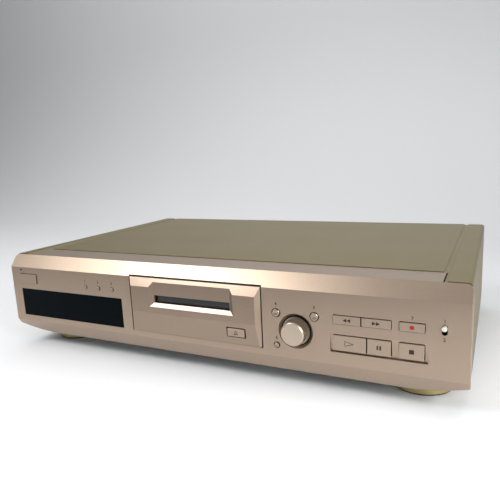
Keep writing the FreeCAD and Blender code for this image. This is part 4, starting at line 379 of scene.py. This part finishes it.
def printed(name, words, x, z):
    """Figures as flat faces on the panel's main face, centred on x and standing on z."""
    curve = bpy.data.curves.new(name, "FONT")
    curve.body = words
    curve.size = FIGURE_SIZE
    curve.offset = FIGURE_BOLD
    curve.align_x = "CENTER"
    text = bpy.data.objects.new(name, curve)
    bpy.context.scene.collection.objects.link(text)
    bpy.context.view_layer.update()
    mesh = bpy.data.meshes.new_from_object(text)
    bpy.data.objects.remove(text)
    upright = Matrix.Rotation(math.pi / 2, 4, "X")
    mesh.transform(Matrix.Translation((x, FACE_Y - SIGN_LIFT, z)) @ upright)
    mesh.materials.clear()
    mesh.materials.append(print_ink)
    thing = bpy.data.objects.new(name, mesh)
    bpy.context.scene.collection.objects.link(thing)
    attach(thing, "cabinet")


def middle_x(name):
    """Middle of a piece from side to side."""
    low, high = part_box(name)
    return (low.x + high.x) / 2


for number, key in enumerate(ROUND_BUTTONS, start=1):
    key_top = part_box(key)[1].z
    printed("figure_%d" % number, str(number), middle_x(key), key_top + FIGURE_OVER_KEY)
printed("record_figure", "7", middle_x("record_button"), UPPER_FIGURE_Z)
printed("input_figure_upper", "1", middle_x("input_switch_knob"), UPPER_FIGURE_Z)
printed("input_figure_lower", "2", middle_x("input_switch_knob"), LOWER_FIGURE_Z)


# Jog knob
# Turned aluminium on a plastic plunger, its face and front bevel coloured lighter as a painted
# highlight against a darker side.

KNOB_FRONT_HIGHLIGHT = (0.48, 0.39, 0.31)
KNOB_SIDE = (0.27, 0.215, 0.165)
BEVEL_DEPTH = 0.0016

knob_metal, knob_tree, knob_shader = new_material("knob metal", KNOB_FRONT_HIGHLIGHT, 0.75, 0.32)
spun = noise(knob_tree, 900.0)
knob_tree.links.new(spread(knob_tree, spun, 0.26, 0.40), knob_shader.inputs["Roughness"])
knob_place = knob_tree.nodes.new("ShaderNodeTexCoord")
knob_split = knob_tree.nodes.new("ShaderNodeSeparateXYZ")
knob_tree.links.new(knob_place.outputs["Object"], knob_split.inputs["Vector"])
# Painted highlight: the front of the knob, its face and bevel, takes the lighter colour; behind it
# the side is darker
side_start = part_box("jog_knob")[0].y + BEVEL_DEPTH
deep = maths(knob_tree, "GREATER_THAN", knob_split.outputs["Y"], side_start)
knob_mix = knob_tree.nodes.new("ShaderNodeMixRGB")
knob_tree.links.new(deep, knob_mix.inputs["Fac"])
knob_mix.inputs["Color1"].default_value = (*KNOB_FRONT_HIGHLIGHT, 1.0)
knob_mix.inputs["Color2"].default_value = (*KNOB_SIDE, 1.0)
knob_tree.links.new(knob_mix.outputs["Color"], knob_shader.inputs["Base Color"])
relief(knob_tree, knob_shader, spun, 0.05)
finish(knob_metal, "jog_knob")
white_acetal = moulded("natural acetal", (0.60, 0.57, 0.48), 0.42)
finish(white_acetal, "jog_plunger")


# Input switch
# A small pale plastic knob on a slide switch behind an upright slot.

finish(moulded("switch knob plastic", (0.62, 0.60, 0.55), 0.3), "input_switch_knob")
black_plastic = moulded("black plastic", (0.012, 0.012, 0.013), 0.42)
finish(black_plastic, "input_switch_body", "jog_encoder", "push_switches")


# Feet
# Moulded cups in a warm gold paint, each with a rubber ring below and one screw up its middle.

FOOT_GOLD = (0.42, 0.335, 0.15)

foot_paint = metallic_paint("foot paint", FOOT_GOLD, metallic=0.5, roughness=0.34)
finish(foot_paint, "foot_front_left", "foot_front_right", "foot_rear_left", "foot_rear_right")
finish(moulded("ring rubber", (0.010, 0.010, 0.010), 0.7, 700.0, 0.15), "foot_pads")


# Screws
# Steel screws with a yellowish passivation, in the cover's back and under the feet.

PASSIVATED = (0.34, 0.29, 0.20)

screw_steel, screw_tree, screw_shader = new_material("passivated steel", PASSIVATED, 0.8, 0.35)
screw_tree.links.new(spread(screw_tree, noise(screw_tree, 500.0), 0.28, 0.45),
                     screw_shader.inputs["Roughness"])
finish(screw_steel, "cover_screws", "foot_screws")


# Chassis pan, mechanism bracket, cartridge holder and head arm
# Folded zinc-plated sheet with a faint spangle, seen from below and through the slot.

def plated(name, colour, roughness):
    """Zinc-plated or nickel-plated sheet with a rolled grain."""
    material, tree, shader = new_material(name, colour, 0.85, roughness)
    spangle = noise(tree, 60.0, 5.0)
    tree.links.new(blend(tree, spangle, shade(colour, 0.86), shade(colour, 1.06)),
                   shader.inputs["Base Color"])
    rolled = noise(tree, 500.0, 2.0, (0.05, 1.0, 1.0))
    gloss = spread(tree, rolled, roughness - 0.06, roughness + 0.08)
    tree.links.new(gloss, shader.inputs["Roughness"])
    relief(tree, shader, rolled, 0.04)
    return material


finish(plated("zinc sheet", (0.52, 0.52, 0.50), 0.38), "chassis_pan")
finish(plated("bracket steel", (0.56, 0.56, 0.54), 0.35),
       "mechanism_bracket", "cartridge_holder", "head_arm")


# Loading mechanism
# An acetal slide with cam slots and a rack, an acetal gear and pinion, and a small can motor.

finish(white_acetal, "loading_slide", "loading_gear", "motor_pinion")
finish(plated("motor can", (0.45, 0.45, 0.45), 0.3), "loading_motor", "spindle_motor", "sled_motor")


# Spindle and pickup
# A black turntable, and a die-cast sled on two ground rods with its lead screw.

finish(black_plastic, "turntable")
finish(plated("ground steel", (0.66, 0.66, 0.67), 0.18), "guide_rods", "lead_screw")
finish(plated("cast aluminium", (0.52, 0.52, 0.52), 0.48), "pickup_sled")


# Boards
# Green solder-masked laminate with black moulded parts.

MASK_GREEN = (0.03, 0.12, 0.05)
MASK_DARK = (0.022, 0.09, 0.038)
MASK_PALE = (0.04, 0.15, 0.06)

laminate, laminate_tree, laminate_shader = new_material("laminate", MASK_GREEN, 0.0, 0.35)
weave = noise(laminate_tree, 300.0, 3.0)
laminate_tree.links.new(blend(laminate_tree, weave, MASK_DARK, MASK_PALE),
                        laminate_shader.inputs["Base Color"])
finish(laminate, "display_board", "key_board", "main_board", "supply_board")
finish(black_plastic, "board_parts")


# Transformer
# A stack of varnished laminations on two feet, with a taped winding.

finish(plated("varnished core", (0.16, 0.15, 0.13), 0.45), "transformer_core")
finish(moulded("winding tape", (0.42, 0.25, 0.05), 0.4, 900.0, 0.08), "transformer_winding")


# Rear sockets
# Black moulded sockets with gold-plated shells, and a black grommet for the mains cord.

finish(black_plastic, "line_jacks", "optical_sockets", "cord_gland")
finish(plated("gold plating", (0.72, 0.50, 0.20), 0.22), "jack_shells")


# Floor, backdrop, lights and camera
# A pale paper sweep, two soft lamps from above and one low at the right that lifts the floor in
# front of the keys, as a window does in the photograph.

FLOOR_WHITE = (0.775, 0.78, 0.79)
FLOOR_FRONT = -0.40
HALF_WIDTH = 3.5
SWEEP_START = 0.55
SWEEP_RADIUS = 0.60
SWEEP_STEPS = 16
BACKDROP_TOP = 3.0


def sweep():
    """A pale sheet that lies on the floor and curves up behind the deck."""
    bm = bmesh.new()
    profile = [(FLOOR_FRONT, 0.0), (SWEEP_START, 0.0)]
    for step in range(1, SWEEP_STEPS + 1):
        angle = math.pi / 2 * step / SWEEP_STEPS
        profile.append((SWEEP_START + SWEEP_RADIUS * math.sin(angle),
                        SWEEP_RADIUS * (1 - math.cos(angle))))
    profile.append((SWEEP_START + SWEEP_RADIUS, BACKDROP_TOP))
    line = [bm.verts.new((-HALF_WIDTH, y, z)) for y, z in profile]
    edges = [bm.edges.new(pair) for pair in zip(line, line[1:])]
    moved = bmesh.ops.extrude_edge_only(bm, edges=edges)
    far = [item for item in moved["geom"] if isinstance(item, bmesh.types.BMVert)]
    bmesh.ops.translate(bm, verts=far, vec=(2 * HALF_WIDTH, 0, 0))
    bmesh.ops.recalc_face_normals(bm, faces=bm.faces[:])
    mesh = bpy.data.meshes.new("backdrop")
    bm.to_mesh(mesh)
    bm.free()
    mesh.shade_smooth()
    thing = bpy.data.objects.new("backdrop", mesh)
    bpy.context.scene.collection.objects.link(thing)
    mesh.materials.append(new_material("backdrop paper", FLOOR_WHITE, 0.0, 0.5)[0])


sweep()


def softbox(name, place, aim, width, height, watts, spread=180):
    """A soft rectangular lamp that looks at a point; its spread is in degrees."""
    lamp = bpy.data.lights.new(name, "AREA")
    lamp.shape = "RECTANGLE"
    lamp.size = width
    lamp.size_y = height
    lamp.energy = watts
    lamp.spread = math.radians(spread)
    thing = bpy.data.objects.new(name, lamp)
    thing.location = place
    thing.rotation_euler = (Vector(aim) - Vector(place)).to_track_quat("-Z", "Y").to_euler()
    bpy.context.scene.collection.objects.link(thing)


softbox("key light", (-0.62, -0.75, 0.86), (0, -0.13, 0.07), 0.55, 0.45, 9.0)
softbox("ceiling light", (-0.1, 0.3, 1.8), (0, 0, 0), 2.4, 1.8, 23.0)
softbox("side light", (0.72, -0.42, 0.36), (0.24, -0.21, 0), 0.4, 0.4, 1.3, spread=70)

ROOM_COLOUR = (0.86, 0.88, 0.91, 1.0)
ROOM_STRENGTH = 0.24

world = bpy.data.worlds.new("studio")
world.use_nodes = True
room = world.node_tree.nodes["Background"]
room.inputs["Color"].default_value = ROOM_COLOUR
room.inputs["Strength"].default_value = ROOM_STRENGTH
bpy.context.scene.world = world
bpy.context.scene.view_settings.view_transform = "Standard"

# The camera stands where the photograph was taken from, found from the panel's measured corners
CAMERA_PLACE = (0.2256048, -0.4747157, 0.1857079)
CAMERA_TURN = ((0.8983423, -0.0437273, 0.4371143),
               (0.436922, 0.1922455, -0.8787155),
               (-0.0456094, 0.9803722, 0.1918077))
SENSOR_WIDTH = 36
FOCAL_SHARE = 503.2472 / 500

lens = bpy.data.cameras.new("camera")
lens.sensor_width = SENSOR_WIDTH
lens.sensor_fit = "HORIZONTAL"
lens.lens = FOCAL_SHARE * SENSOR_WIDTH
camera = bpy.data.objects.new("camera", lens)
camera.matrix_world = Matrix.Translation(CAMERA_PLACE) @ Matrix(CAMERA_TURN).to_4x4()
bpy.context.scene.collection.objects.link(camera)
bpy.context.scene.camera = camera

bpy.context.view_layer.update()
